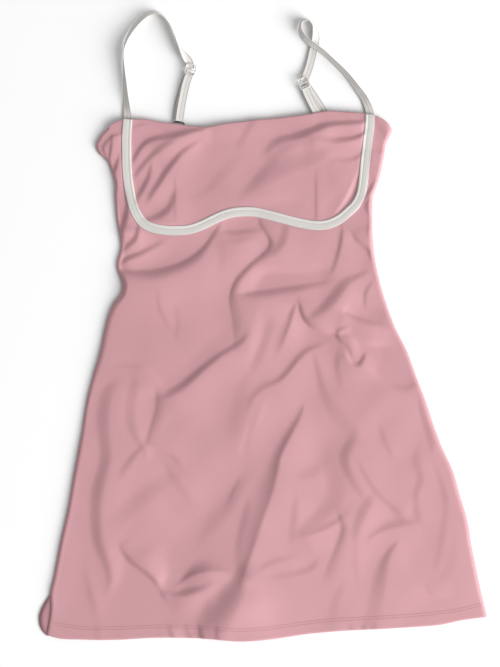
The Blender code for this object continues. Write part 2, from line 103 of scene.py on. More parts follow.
RIGHT_WING = [(135.7, 142), (137, 162), (141, 173), (145.4, 187), (148.9, 203), (151, 214),
              (153.5, 228), (158, 237), (160.5, 245), (157.5, 251.6)]
HEM = [(-271, -387), (-258.8, -390.9), (-228.8, -393), (-183.8, -393.4), (-138.8, -391), (-93.8, -391),
       (-63.8, -392), (-26, -394.6), (11, -392), (56, -386), (101, -382), (146, -379.6), (191, -377),
       (221, -374.6), (251, -368.4), (280, -364.6)]
NECK_LEFT = [(-194.8, 246), (-184, 254), (-174.8, 257.3), (-168.8, 257.5)]
NECK_MIDDLE = [(-168.8, 257.5), (-140, 256.5), (-128.8, 254), (-108.8, 251.6), (-88.8, 249),
               (-68.8, 247.9), (-48.8, 251.6), (-28.8, 254), (-8.8, 256.6), (11, 257.9), (31, 260.4),
               (51, 262.9), (71, 266.6), (81, 267.9), (101, 266.6), (121, 265.4), (133.8, 263.5)]
NECK_RIGHT = [(133.8, 263.5), (141, 261.6), (151, 256.6), (157.5, 251.6)]
ARM_LEFT = [(-168.8, 257.5), (-170.2, 240), (-170.4, 215), (-169.6, 192), (-167.5, 173), (-163.8, 155),
            (-158, 139)]
WAVE = [(-158, 139), (-149.5, 127.5), (-138.5, 121.8), (-123, 118.8), (-105.5, 118.2), (-90, 120),
        (-77, 124.6), (-64, 130.8), (-50, 137.2), (-37, 140.8), (-24, 142), (-10, 141.5), (0, 139.4),
        (16, 135.4), (34, 130.5), (50, 126.9), (64, 124.8), (75, 124.9), (86.4, 127.8), (97, 133.5),
        (107, 142)]
ARM_RIGHT = [(107, 142), (116.8, 152.4), (122.6, 165), (125.3, 181), (127, 197), (128.7, 213),
             (131, 231), (133, 247), (133.8, 263.5)]
WING_FEET = ((-170, 134), (121, 144))
BACK_CORNER = [(-270.5, -388.5), (-276, -383), (-280, -373), (-280, -363), (-273.8, -348),
               (-266.5, -336), (-262, -322)]
HEM_STITCH = [(-262, -371), (-230, -376.4), (-184, -377.2), (-138.8, -375.2), (-93.8, -375.4),
              (-60, -377), (-26, -378.6), (11, -376.2), (56, -370.2), (90, -366.8), (146, -363.6),
              (198, -360), (240, -355), (273, -347.4)]
LEFT_EDGE = LEFT_SIDE + LEFT_WING[1:]
RIGHT_EDGE = RIGHT_SIDE + RIGHT_WING[1:]
NECKLINE = NECK_LEFT + NECK_MIDDLE[1:] + NECK_RIGHT[1:]
BUST_SEAM = ARM_LEFT + WAVE[1:] + ARM_RIGHT[1:]


@dataclass(frozen=True)
class Crease:
    """A crease in the front: one steep flank between a soft ridge and a soft trough.

    Attributes:
        stops: the middle of the flank, as x, y, width and steepness. The first three are in steps of STEP_MM
            from the frame's upper left corner, with y down the dress, and steepness is rise over run.
        keen: where the flank is crisp.
        ridge: share of the rise that stands above the cloth around it. The rest is the trough.
        turned: whether the ridge lies on the side away from HIGH_SIDE.
        ends: share of the route over which each end fades.
    """

    stops: Rows
    keen: Keen = Keen.SOFT
    ridge: float = 0.6
    turned: bool = False
    ends: float = 0.2


STEP_MM = 1.25
FRAME_ZERO = (263, 325.3)
HIGH_SIDE = (0.88, -0.47)
FOOT, TOP = Keen.FOOT, Keen.TOP
BUST_CREASES = [
    Crease([(207, 128, 3, .37), (198, 130, 4, .61), (189, 132, 6, .77), (178, 135, 7, .81),
            (167, 137, 7, .75), (156, 139, 6, .71), (148, 142, 5, .63), (142, 147, 5, .54),
            (137, 154, 5, .44), (133, 161, 5, .27)], ridge=0.85, ends=0.06),
    Crease([(172, 141, 8, .14), (163, 147, 9, .28), (155, 153, 8, .36), (147, 161, 7, .36),
            (140, 169, 6, .3), (134, 178, 5, .18)], ridge=0.5, ends=0.12),
    Crease([(200, 141, 5, .12), (190, 147, 7, .25), (181, 154, 7, .37), (173, 163, 7, .45),
            (166, 172, 7, .47), (159, 183, 7, .45), (153, 192, 7, .35), (147, 202, 6, .16)], ends=0.1),
    Crease([(151, 166, 4, .22), (148, 178, 5, .42), (143, 188, 6, .44), (138, 197, 6, .3),
            (134, 204, 4, .16)], ends=0.12),
    Crease([(173, 196, 5, .16), (170, 205, 8, .3), (163, 213, 9, .36), (153, 218, 8, .38),
            (144, 220, 6, .24)], ends=0.14),
    Crease([(134, 128, 3, .16), (146, 125, 4, .22), (158, 128, 5, .1)], FOOT),
    Crease([(365, 122, 5, .6), (350, 123, 6, .7), (336, 124, 6, .74), (325, 126, 7, .74),
            (314, 130, 9, .64), (304, 134, 9, .6), (294, 137, 8, .6), (284, 139, 9, .4),
            (275, 143, 10, .22), (268, 150, 10, .08)], ridge=0.9, ends=0.06),
    Crease([(365, 133, 4, .5), (357, 137, 5, .6), (348, 139, 7, .6), (338, 140, 8, .5), (328, 140, 9, .36),
            (318, 138, 9, .14)], ridge=0.5, ends=0.08),
    Crease([(334, 147, 10, .06), (318, 155, 15, .13), (300, 162, 20, .13), (282, 168, 23, .13),
            (266, 177, 20, .13), (254, 186, 14, .11), (243, 194, 8, .06)], ridge=0.5, ends=0.12),
    Crease([(291, 147, 9, .04), (279, 155, 12, .08), (268, 166, 14, .1), (258, 178, 12, .08),
            (249, 188, 8, .04)]),
    Crease([(365, 152, 4, .2), (357, 157, 5, .24), (347, 160, 7, .18), (336, 160, 8, .08)], ends=0.1),
    Crease([(240, 156, 11, .02), (228, 168, 14, .06), (216, 181, 13, .08), (204, 192, 11, .06),
            (188, 201, 9, .02)]),
    Crease([(252, 123, 7, .08), (247, 131, 9, .12), (241, 142, 9, .05)]),
    Crease([(337, 212, 4, .16), (345, 201, 6, .34), (352, 188, 6, .36), (357, 173, 4, .16)],
           turned=True, ends=0.1),
    Crease([(175, 178, 2, .1), (175, 190, 2.2, .2), (175, 219, 2.2, .12)], ends=0.08),
    Crease([(316, 172, 2, .1), (316, 190, 2.2, .28), (316, 219, 2.2, .28)], ends=0.06),
    Crease([(300, 196, 14, .03), (270, 201, 16, .07), (236, 208, 14, .04)], turned=True),
    Crease([(352, 170, 12, .03), (340, 186, 16, .05), (326, 204, 12, .03)], turned=True),
]
WING_CREASES = [
    Crease([(121, 134, 3, .2), (113, 137, 4, .36), (107, 142, 4, .34), (103, 150, 3, .16)]),
    Crease([(112, 137, 2.4, .3), (111, 149, 2.4, .64), (109, 162, 2.4, .36)], ends=0.1),
    Crease([(103, 149, 2.4, .36), (106, 156, 2.4, .5), (109, 161, 2.4, .2)], ends=0.1),
    Crease([(119, 156, 4, .2), (116, 167, 5, .46), (113, 178, 5, .5), (113, 190, 4, .24)]),
    Crease([(127, 196, 3, .19), (127, 208, 5, .43), (125, 219, 7, .53), (121, 229, 7, .53),
            (116, 236, 5, .29)], ends=0.1),
    Crease([(375, 122, 8, .1), (382, 130, 8, .16), (386, 138, 5, .08)]),
    Crease([(374, 184, 4, .16), (368, 192, 6, .36), (362, 200, 5, .24)]),
    Crease([(373, 150, 3, .18), (379, 152, 3, .24), (384, 149, 3, .12)]),
    Crease([(371, 196, 3, .14), (367, 206, 4, .34), (370, 218, 5, .34), (367, 234, 5, .16)]),
]
WAIST_CREASES = [
    Crease([(120, 254, 6, .24), (127, 246, 8, .48), (134, 240, 7, .52), (137, 231, 4, .2)], ends=0.1),
    Crease([(118, 265, 5, .44), (127, 259, 6, .6), (139, 254, 6, .52), (153, 247, 6, .32),
            (167, 240, 6, .12)], ridge=0.4),
    Crease([(112, 272, 8, .54), (128, 276, 12, .6), (148, 277, 13, .58), (168, 273, 12, .5),
            (186, 266, 11, .46), (199, 257, 10, .4), (208, 246, 6, .36), (215, 235, 5, .3),
            (222, 224, 4, .18)], FOOT, 0.5, ends=0.05),
    Crease([(220, 235, 8, .14), (232, 235, 9, .32), (246, 234, 9, .3), (262, 232, 7, .1)], FOOT, 0.4),
    Crease([(226, 243, 6, .08), (238, 242, 7, .16), (252, 240, 6, .08)], FOOT, 0.4),
    Crease([(259, 216, 3, .2), (263, 226, 4, .34), (269, 235, 6, .36), (272, 245, 7, .36),
            (265, 255, 6, .4), (255, 264, 6, .42), (246, 273, 6, .44), (239, 283, 7, .42),
            (236, 294, 9, .3), (237, 306, 14, .18), (241, 320, 18, .13), (242, 334, 18, .08)],
           FOOT, ends=0.06),
    Crease([(285, 228, 9, .08), (283, 238, 11, .19), (277, 248, 9, .18), (266, 257, 6, .08)], ends=0.14),
    Crease([(249, 326, 8, .1), (244, 338, 7, .26), (233, 347, 6, .36), (220, 355, 6, .4),
            (207, 365, 7, .44), (195, 375, 8, .46), (183, 385, 9, .42), (170, 393, 9, .3),
            (156, 400, 8, .12)], ridge=0.5, ends=0.14),
    Crease([(240, 322, 12, .03), (224, 337, 16, .06), (206, 353, 17, .06), (188, 369, 14, .03)]),
    Crease([(241, 298, 8, .12), (252, 297, 10, .36), (265, 295, 11, .52), (281, 292, 11, .54),
            (297, 290, 10, .46), (313, 287, 8, .3), (330, 284, 6, .14)], FOOT, 0.15, ends=0.1),
    Crease([(368, 271, 4, .15), (357, 277, 6, .25), (347, 282, 9, .25), (338, 291, 14, .26),
            (331, 300, 15, .26), (323, 308, 10, .25), (313, 315, 5, .11)], ends=0.1),
    Crease([(342, 222, 4, .16), (341, 238, 5, .32), (338, 253, 5, .3), (333, 268, 5, .18),
            (326, 280, 6, .08)]),
    Crease([(351, 232, 3, .34), (358, 241, 4, .56), (367, 249, 4, .56), (372, 262, 4, .28)]),
    Crease([(372, 282, 3, .14), (366, 292, 4, .28), (365, 306, 4, .12)]),
    Crease([(296, 300, 4, .18), (291, 311, 6, .3), (287, 322, 7, .28), (281, 336, 9, .18),
            (274, 352, 10, .08)], TOP),
    Crease([(300, 302, 4, .34), (305, 315, 6, .56), (312, 323, 8, .6), (324, 328, 9, .5),
            (344, 331, 7, .22)], FOOT, 0.4, ends=0.12),
    Crease([(338, 312, 5, .26), (350, 318, 7, .5), (364, 323, 8, .44), (384, 328, 6, .16)], FOOT, 0.4),
    Crease([(345, 328, 3, .34), (338, 332, 4, .42), (341, 341, 4, .4), (348, 347, 4, .3),
            (351, 355, 4, .2)], ends=0.12),
    Crease([(342, 334, 3, .15), (350, 338, 3, .13), (358, 347, 4, .08)], turned=True),
    Crease([(334, 338, 6, .08), (320, 343, 6, .18), (306, 349, 7, .26), (295, 359, 7, .28),
            (286, 370, 7, .3), (276, 379, 7, .26), (262, 385, 9, .18), (252, 393, 11, .12),
            (243, 407, 13, .08), (238, 424, 13, .05)], TOP),
    Crease([(311, 347, 5, .07), (315, 360, 7, .14), (319, 375, 8, .15), (324, 392, 10, .14),
            (334, 410, 16, .1), (348, 428, 20, .09), (364, 444, 16, .04)], ridge=0.5),
    Crease([(338, 350, 6, .08), (337, 366, 8, .14), (340, 382, 8, .07)]),
    Crease([(362, 366, 10, .05), (378, 381, 11, .16), (392, 389, 12, .2), (408, 390, 11, .16),
            (420, 384, 8, .08)], FOOT, 0.4),
    Crease([(108, 368, 4, .06), (128, 366, 4, .14), (144, 368, 5, .16), (156, 376, 5, .12),
            (168, 382, 6, .05)]),
    Crease([(158, 292, 5, .06), (159, 306, 5, .12), (164, 318, 5, .16), (170, 326, 5, .1)]),
    Crease([(176, 310, 5, .05), (178, 322, 5, .09), (176, 336, 6, .05)]),
    Crease([(262, 306, 10, .03), (258, 326, 12, .07), (254, 346, 12, .06), (246, 366, 12, .03)],
           turned=True),
    Crease([(272, 318, 9, .04), (266, 338, 11, .1), (258, 358, 12, .08), (250, 374, 10, .03)]),
    Crease([(218, 244, 8, .02), (222, 258, 12, .04), (220, 276, 14, .03)]),
    Crease([(348, 356, 3, .3), (352, 362, 4, .56), (357, 364, 4, .6), (363, 357, 3, .36)], ends=0.12),
    Crease([(350, 336, 5, .08), (366, 342, 8, .26), (386, 345, 8, .14)], turned=True),
    Crease([(117, 233, 6, .08), (126, 229, 9, .34), (138, 229, 7, .14)]),
    Crease([(250, 270, 9, .03), (280, 270, 11, .1), (306, 270, 11, .1), (330, 266, 8, .03)], turned=True),
]
SKIRT_CREASES = [
    Crease([(122, 380, 7.7, .05), (110, 390, 13.2, .14), (105, 404, 16.5, .14), (103, 420, 16.5, .16),
            (104, 438, 15.4, .17), (105, 456, 14.3, .19), (102, 472, 14.3, .2), (98, 488, 15.4, .2),
            (96, 505, 15.4, .2), (96, 524, 14.3, .2), (98, 543, 14, .24), (103, 560, 14, .27),
            (107, 577, 12, .25), (106, 593, 8, .12)], ends=0.07),
    Crease([(136, 370, 8, .04), (134, 388, 12, .09), (131, 406, 14, .1), (131, 422, 13, .12),
            (136, 437, 8, .16), (143, 449, 5, .16), (147, 464, 4, .07)]),
    Crease([(161, 398, 8, .1), (162, 406, 15, .18), (160, 416, 15, .18), (155, 429, 11, .18),
            (150, 441, 5, .11)], FOOT, 0.3, ends=0.16),
    Crease([(149, 446, 3, .24), (160, 450, 4, .28), (172, 456, 5, .22), (183, 468, 6, .1)]),
    Crease([(140, 449, 5, .14), (131, 459, 8, .18), (122, 472, 8, .07)]),
    Crease([(170, 480, 13.2, .04), (152, 490, 19.8, .08), (136, 503, 22, .09), (118, 519, 17.6, .04)]),
    Crease([(166, 466, 7, .07), (176, 482, 10, .12), (190, 500, 10, .06)]),
    Crease([(122, 550, 4, .2), (131, 562, 7, .6), (140, 570, 9, .86), (148, 577, 9, .94),
            (154, 584, 9, .86), (158, 590, 8, .46), (161, 595, 6, .12)], ridge=0.6, ends=0.05),
    Crease([(169, 588, 4, .26), (177, 580, 9, .38), (188, 571, 13, .38), (202, 565, 16, .34),
            (218, 564, 17, .28), (232, 568, 13, .18), (244, 576, 7, .1)], TOP, 0.5, ends=0.08),
    Crease([(240, 577, 6, .1), (235, 589, 16, .2), (226, 603, 30, .28), (217, 617, 38, .33),
            (210, 632, 40, .44), (206, 652, 40, .44)], ridge=0.68, ends=0.12),
    Crease([(304, 400, 4.2, .08), (298, 414, 6.3, .21), (290, 428, 8.4, .28), (282, 442, 9.5, .3),
            (275, 456, 10.5, .29), (270, 470, 13.7, .24), (265, 484, 17.9, .2), (258, 500, 23.1, .17),
            (251, 517, 25.2, .17), (246, 535, 23.1, .17), (242, 552, 18.9, .17), (239, 568, 12.6, .17),
            (237, 582, 8.4, .1)], TOP, ends=0.06),
    Crease([(248, 472, 12, .06), (236, 491, 18, .12), (223, 509, 22, .13), (207, 527, 22, .12),
            (190, 547, 18, .06)]),
    Crease([(250, 494, 8, .07), (245, 515, 9, .12), (240, 536, 9, .12), (237, 560, 8, .08)]),
    Crease([(240, 478, 2.5, .1), (232, 494, 3, .2), (227, 506, 3, .08)]),
    Crease([(270, 396, 10, .03), (256, 420, 12, .08), (246, 440, 12, .07), (238, 462, 12, .03)],
           turned=True),
    Crease([(244, 384, 13.2, .04), (238, 402, 17.6, .07), (234, 426, 17.6, .04)]),
    Crease([(262, 404, 7, .05), (255, 420, 8, .11), (248, 440, 8, .08), (244, 456, 7, .04)]),
    Crease([(296, 496, 6.5, .06), (294, 516, 9.1, .11), (291, 540, 7.8, .07)]),
    Crease([(328, 462, 16, .04), (333, 480, 22, .09), (333, 496, 24, .11), (326, 508, 22, .13),
            (313, 520, 14, .12), (301, 530, 8, .07)], ends=0.12),
    Crease([(340, 514, 4.4, .18), (345, 527, 8.8, .24), (343, 541, 11, .19), (338, 556, 12.1, .13),
            (331, 574, 11, .06)], FOOT, 0.45, ends=0.12),
    Crease([(354, 434, 8, .06), (350, 444, 12, .14), (345, 455, 13, .2), (346, 466, 12, .21),
            (351, 478, 10, .17), (358, 489, 9, .12), (367, 500, 8, .05)], ends=0.14),
    Crease([(354, 455, 3, .08), (362, 470, 4, .14), (370, 483, 6, .16), (381, 497, 7, .19),
            (393, 508, 8, .2), (404, 518, 10, .18), (414, 524, 9, .08)]),
    Crease([(370, 499, 9.9, .07), (363, 511, 13.2, .16), (358, 523, 11, .14), (354, 536, 7.7, .05)]),
    Crease([(413, 520, 7.7, .07), (398, 521, 11, .18), (384, 525, 11, .18), (370, 534, 5.5, .09)],
           TOP, ends=0.12),
    Crease([(398, 541, 3.3, .15), (390, 551, 4.4, .25), (384, 563, 9.9, .19), (380, 578, 15.4, .15),
            (377, 594, 17.6, .14), (373, 612, 18.7, .13), (369, 630, 18.7, .11), (366, 648, 17.6, .08)],
           ends=0.06),
    Crease([(420, 442, 7.2, .04), (416, 462, 10.8, .09), (420, 479, 8.4, .11), (416, 493, 8.4, .09),
            (416, 508, 9.6, .09), (421, 530, 8.4, .06)]),
    Crease([(418, 392, 4.8, .07), (422, 412, 7.2, .13), (428, 432, 7.2, .14), (434, 458, 7.2, .08)]),
    Crease([(434, 464, 6, .04), (443, 490, 8.4, .1), (446, 508, 8.4, .08)]),
    Crease([(446, 502, 6, .03), (443, 528, 8.4, .07), (438, 556, 8.4, .05), (432, 580, 8.4, .02)]),
    Crease([(455, 532, 8.8, .02), (453, 552, 12.1, .04), (447, 570, 12.1, .04), (436, 581, 7.7, .03),
            (426, 590, 4.4, .02)]),
    Crease([(424, 586, 3, .1), (434, 595, 4, .24), (446, 598, 4, .12)]),
    Crease([(256, 572, 6, .06), (272, 562, 7, .14), (298, 556, 7, .08)]),
    Crease([(262, 578, 6, .05), (290, 574, 8, .12), (311, 567, 7, .14), (321, 556, 6, .06)]),
    Crease([(380, 426, 4.2, .05), (384, 440, 5.6, .12), (392, 456, 7, .07)]),
    Crease([(286, 466, 12, .05), (299, 474, 14, .1), (313, 470, 12, .05)]),
    Crease([(356, 540, 6, .03), (355, 560, 7.2, .07), (357, 580, 7.2, .03)]),
    Crease([(342, 586, 8, .05), (334, 606, 10, .09), (330, 628, 10, .05)]),
    Crease([(84, 560, 7.2, .08), (86, 580, 9.6, .17), (90, 600, 10.8, .18), (96, 622, 10.8, .18),
            (101, 646, 9.6, .1)]),
    Crease([(160, 589, 6, .1), (168, 592, 8, .4), (177, 593, 9, .6), (187, 592, 9, .54), (198, 589, 8, .32),
            (209, 585, 7, .1)], ridge=0.62, ends=0.14),
    Crease([(344, 513, 5, .08), (333, 520, 9, .17), (317, 527, 10, .18), (299, 533, 7, .1)], TOP),
    Crease([(206, 548, 26, .03), (186, 570, 48, .08), (172, 600, 58, .09), (168, 650, 58, .09)],
           ridge=0.4, ends=0.3),
]
# Small puckers across the hem's stitches, in the creases' steps: where, how far they lean, and how steep.
HEM_PUCKERS = [(160, -4, .32), (172, -5, .44), (189, -4, .36), (202, -3, .40), (217, 0, .18),
               (353, -3, .30), (362, 2, .34), (372, 2, .24), (402, 3, .12), (431, 2, .16), (444, 3, .18),
               (454, 3, .18), (138, -4, .22), (119, -4, .2), (97, -3, .16)]
# A pucker's stops: share of its lean, y, width, and factor on its steepness.
PUCKER_STOPS = ((-1, 652, 4, 4), (0, 638, 4, 4), (1, 626, 3, 1.6))


# ---- curves, grids

def smoothstep(value: Array) -> Array:
    """0 below 0, 1 above 1, and 3t^2 - 2t^3 between."""
    t = np.clip(value, 0, 1)
    return t * t * (3 - 2 * t)


def bell(value: Array) -> Array:
    """1 at 0, falling as e to the minus square."""
    return np.exp(-value ** 2)


def arch(value: Array) -> Array:
    """Half a sine from 0 to 1, and 0 beyond."""
    return np.sin(np.pi * np.clip(value, 0, 1))


def lengths(points: Array) -> Array:
    """Length along a chain of points, from 0 at the first."""
    return np.concatenate([[0.0], np.cumsum(np.linalg.norm(np.diff(points, axis=0), axis=1))])


def smooth_curve(rows: Rows, count: int) -> Array:
    """Evenly spaced points on a smooth curve through some rows.

    Each stretch is a cubic that meets its neighbours with the rows' mean slope, and the points are then
    spread evenly by the curve's length in plan.

    Args:
        rows: the points to pass through, with x and y first and any further columns after them.
        count: number of steps.

    Returns:
        count + 1 rows.
    """
    table = np.array(rows, float)
    along = lengths(table[:, :2])
    slope = np.gradient(table, along, axis=0)
    place = np.linspace(0, along[-1], FINE_STEPS * len(table))
    i = np.clip(np.searchsorted(along, place, side="right") - 1, 0, len(table) - 2)
    width = (along[i + 1] - along[i])[:, None]
    t = (place - along[i])[:, None] / width
    fine = ((2 * t**3 - 3 * t**2 + 1) * table[i] + (t**3 - 2 * t**2 + t) * slope[i] * width
            + (3 * t**2 - 2 * t**3) * table[i + 1] + (t**3 - t**2) * slope[i + 1] * width)
    length = lengths(fine[:, :2])
    share = np.linspace(0, length[-1], count + 1)
    return np.stack([np.interp(share, length, column) for column in fine.T], axis=1)


def grown(size: tuple[float, float], value: Any) -> Any:
    """A value times the size's first number, plus its second."""
    return size[0] * value + size[1]


def unit(vectors: Array) -> Array:
    """Each row divided by its length."""
    return vectors / np.maximum(np.linalg.norm(vectors, axis=-1, keepdims=True), TINY)


def heading(line: Array) -> Array:
    """Unit vector along a line at each of its points."""
    return unit(np.gradient(line, axis=0))


def leftward(way: Array) -> Array:
    """Plan vectors turned a quarter to the left."""
    return np.stack([-way[:, 1], way[:, 0]], axis=1)


def beside(route: Rows, offset: float) -> list[tuple[float, float]]:
    """A route moved sideways to its left by an offset."""
    line = smooth_curve(route, BESIDE_STEPS)
    return (line + offset * leftward(heading(line))).tolist()


def circle(count: int) -> tuple[Array, Array]:
    """Cosine and sine of evenly spaced turns, each as a column."""
    turns = np.linspace(0, 2 * np.pi, count + 1)[:-1, None]
    return np.cos(turns), np.sin(turns)


def patch(bottom: Rows, top: Rows, left: Rows, right: Rows, columns: int, rows: int) -> Array:
    """Grid between four edges: a Coons patch.

    The two pairs of edges are each joined by straight lines, the two results are added, and the bilinear
    surface of the four corners is taken off.

    Args:
        bottom, top: edges from left to right. A list is smoothed, and an array is used as it is.
        left, right: edges from bottom to top, likewise.
        columns, rows: cells across and up.

    Returns:
        Array of rows + 1 by columns + 1 by 2.
    """
    bottom, top, left, right = (
        edge if isinstance(edge, np.ndarray) else smooth_curve(edge, count)
        for edge, count in ((bottom, columns), (top, columns), (left, rows), (right, rows)))
    s = np.linspace(0, 1, len(bottom))[None, :, None]
    t = np.linspace(0, 1, len(left))[:, None, None]
    lines = (1 - t) * bottom[None] + t * top[None] + (1 - s) * left[:, None] + s * right[:, None]
    corners = ((1 - s) * (1 - t) * bottom[0] + s * (1 - t) * bottom[-1]
               + (1 - s) * t * top[0] + s * t * top[-1])
    return lines - corners


def on_height(plan: Array, height: Callable[[Array], Array]) -> Array:
    """The plan grid with a third column from the height function of its points."""
    flat = plan.reshape(-1, 2)
    return np.concatenate([flat, height(flat)[:, None]], axis=1).reshape(*plan.shape[:2], 3)


def grid_faces(rows: int, columns: int, first: int = 0, closed: bool = False) -> Array:
    """Quads of a grid whose points are numbered row by row.

    Args:
        rows: number of rows.
        columns: number of columns.
        first: number of the first point.
        closed: whether the last column joins the first.

    Returns:
        Array of faces by 4.
    """
    index = first + np.arange(rows * columns).reshape(rows, columns)
    if closed:
        index = np.concatenate([index, index[:, :1]], axis=1)
    return np.stack([index[:-1, :-1], index[:-1, 1:], index[1:, 1:], index[1:, :-1]],
                    axis=-1).reshape(-1, 4)


def new_mesh(name: str, points: Array, faces: Array, uv: Array | None = None) -> Mesh:
    """A smooth mesh from points in millimetres.

    Args:
        name: the mesh's name.
        points: one row of x, y, z for each vertex.
        faces: one row of vertex numbers for each face, all of the same length.
        uv: one row of u, v for each vertex.

    Returns:
        The mesh, in metres.
    """
    mesh = bpy.data.meshes.new(name)
    mesh.from_pydata((points * MM).tolist(), [], faces.tolist())
    if uv is not None:
        layer = mesh.uv_layers.new(name="UVMap")
        loops = np.empty(len(mesh.loops), np.int32)
        mesh.loops.foreach_get("vertex_index", loops)
        layer.data.foreach_set("uv", uv[loops].astype(np.float32).ravel())
    mesh.shade_smooth()
    return mesh


def strip_mesh(name: str, grid: Array, line: Array, place: Array, order: int = 1) -> Mesh:
    """A strip's mesh, with the length along and the place across as its UV, in metres.

    Args:
        name: the mesh's name.
        grid: points, along by across.
        line: centre line.
        place: place of each column across, in millimetres.
        order: 1, or -1 to turn the faces over.

    Returns:
        The mesh.
    """
    uv = np.stack(np.broadcast_arrays(lengths(line)[:, None], place[None]), axis=-1) * MM
    return new_mesh(name, grid.reshape(-1, 3), grid_faces(*grid.shape[:2])[:, ::order], uv.reshape(-1, 2))


def sew(grids: Sequence[Array]) -> tuple[Array, Array]:
    """One set of points and faces from several grids, with points that coincide made one."""
    points, faces, first = [], [], 0
    for grid in grids:
        rows, columns, _ = grid.shape
        faces.append(grid_faces(rows, columns, first))
        points.append(grid.reshape(-1, 3))
        first += rows * columns
    flat = np.concatenate(points)
    _, kept, place = np.unique(np.round(flat * WELD_PER_MM), axis=0, return_index=True, return_inverse=True)
    return flat[kept], place.reshape(-1)[np.concatenate(faces)]


def add_piece(name: str, mesh: Mesh, finish: Finish,
              nodes: Sequence[str] = (), wall: float = 0.0) -> Piece:
    """Puts a mesh in the scene as a piece that rides on the dress.

    Args:
        name: the piece's name.
        mesh: its mesh.
        finish: its material.
        nodes: CAD nodes that it stands for.
        wall: thickness in millimetres about the mesh, or 0 where the mesh is closed already.

    Returns:
        The piece.
    """
    piece = bpy.data.objects.new(name, mesh)
    bpy.context.scene.collection.objects.link(piece)
    mesh.materials.append(finish)
    if wall:
        shell = piece.modifiers.new("wall", "SOLIDIFY")
        shell.thickness = wall * MM
        shell.offset = 0.0
    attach(piece, ROOT)
    if nodes:
        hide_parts(*nodes)
    log.info("%s: %d faces", name, len(mesh.polygons))
    return piece


# ---- shader

class Wire:
    """A node's output socket, on which Python's operators add Math nodes."""

    def __init__(self, tree: "Shader", socket: bpy.types.NodeSocket) -> None:
        """Wraps a socket of the shader's tree."""
        self.tree, self.socket = tree, socket

    def _math(self, operation: str, *values: Any) -> "Wire":
        """A Math node with the operation and values given."""
        return self.tree.node("ShaderNodeMath", {"operation": operation}, dict(enumerate(values)))

    def __add__(self, other: Any) -> "Wire":
        """Sum."""
        return self._math("ADD", self, other)

    def __mul__(self, other: Any) -> "Wire":
        """Product."""
        return self._math("MULTIPLY", self, other)

    def __sub__(self, other: Any) -> "Wire":
        """Difference."""
        return self._math("SUBTRACT", self, other)

    def sine(self) -> "Wire":
        """Sine of the value in radians."""
        return self._math("SINE", self)

    def absolute(self) -> "Wire":
        """Value without its sign."""
        return self._math("ABSOLUTE", self)

    __rmul__ = __mul__


class Shader:
    """One material's nodes, built around its Principled BSDF."""

    def __init__(self, name: str, colour: Sequence[float], roughness: float, **fixed: float) -> None:
        """Starts a material.

        Args:
            name: the material's name.
            colour: base colour, linear.
            roughness: base roughness.
            fixed: further Principled sockets, with underscores for spaces.
        """
        self.colour = colour
        self.material = bpy.data.materials.new(name)
        self.material.use_nodes = True
        self.nodes = self.material.node_tree.nodes
        self.links = self.material.node_tree.links
        self.bsdf = self.nodes["Principled BSDF"]
        self.bsdf.inputs["Base Color"].default_value = (*colour, 1.0)
        self.bsdf.inputs["Roughness"].default_value = roughness
        for socket, value in fixed.items():
            self.bsdf.inputs[socket.replace("_", " ")].default_value = value

    def node(self, kind: str, settings: dict[str, Any] | None = None,
             values: dict[Any, Any] | None = None, output: int | str = 0) -> Wire:
        """Adds a node.

        Args:
            kind: the node's type.
            settings: its own properties, set first.
            values: values or wires for its input sockets, by name or number.
            output: the output to return.

        Returns:
            The output, wrapped.
        """
        node = self.nodes.new(kind)
        for key, value in (settings or {}).items():
            setattr(node, key, value)
        for key, value in (values or {}).items():
            self.put(node.inputs[key], value)
        return Wire(self, node.outputs[output])

    def put(self, socket: bpy.types.NodeSocket, value: Any) -> None:
        """Links a wire into a socket, or sets its value."""
        if isinstance(value, Wire):
            self.links.new(value.socket, socket)
        else:
            socket.default_value = value

    def set(self, socket: str, value: Any) -> None:
        """Feeds one of the Principled BSDF's sockets."""
        self.put(self.bsdf.inputs[socket], value)

    def mix(self, share: Any, first: Any, second: Any) -> Wire:
        """Colour between two colours, by a share."""
        return self.node("ShaderNodeMix", {"data_type": "RGBA"}, {"Factor": share, 6: first, 7: second}, 2)

    def tint(self, share: Wire, low: float, high: float) -> Wire:
        """The base colour times a factor between two, by a share."""
        return self.mix(share, rgba(self.colour, low), rgba(self.colour, high))

    def place(self) -> Wire:
        """Object coordinates."""
        return self.node("ShaderNodeTexCoord", output="Object")

    def split(self, vector: Wire) -> tuple[Wire, Wire]:
        """The first two coordinates of a vector."""
        outputs = self.node("ShaderNodeSeparateXYZ", None, {"Vector": vector}).socket.node.outputs
        return Wire(self, outputs[0]), Wire(self, outputs[1])

    def noise(self, scale: float, detail: float = 2.0) -> Wire:
        """Noise from 0 to 1 on object coordinates."""
        return self.node("ShaderNodeTexNoise", None,
                         {"Vector": self.place(), "Scale": scale, "Detail": detail})

    def fade(self, value: Wire, full: float, none: float) -> Wire:
        """1 at one value and 0 at another, with a smoothstep between."""
        return self.node("ShaderNodeMapRange", {"interpolation_type": "SMOOTHSTEP"},
                         {"Value": value, "From Min": full, "From Max": none, "To Min": 1.0, "To Max": 0.0})

    def bump(self, height: Wire, distance: float, strength: float) -> None:
        """Feeds the normal from a height, whose unit is distance metres."""
        self.set("Normal", self.node("ShaderNodeBump", None,
                                     {"Height": height, "Distance": distance, "Strength": strength}))


def rgba(colour: Sequence[float], factor: float) -> tuple[float, float, float, float]:
    """A colour scaled by a factor, with alpha 1."""
    return (*(channel * factor for channel in colour), 1.0)


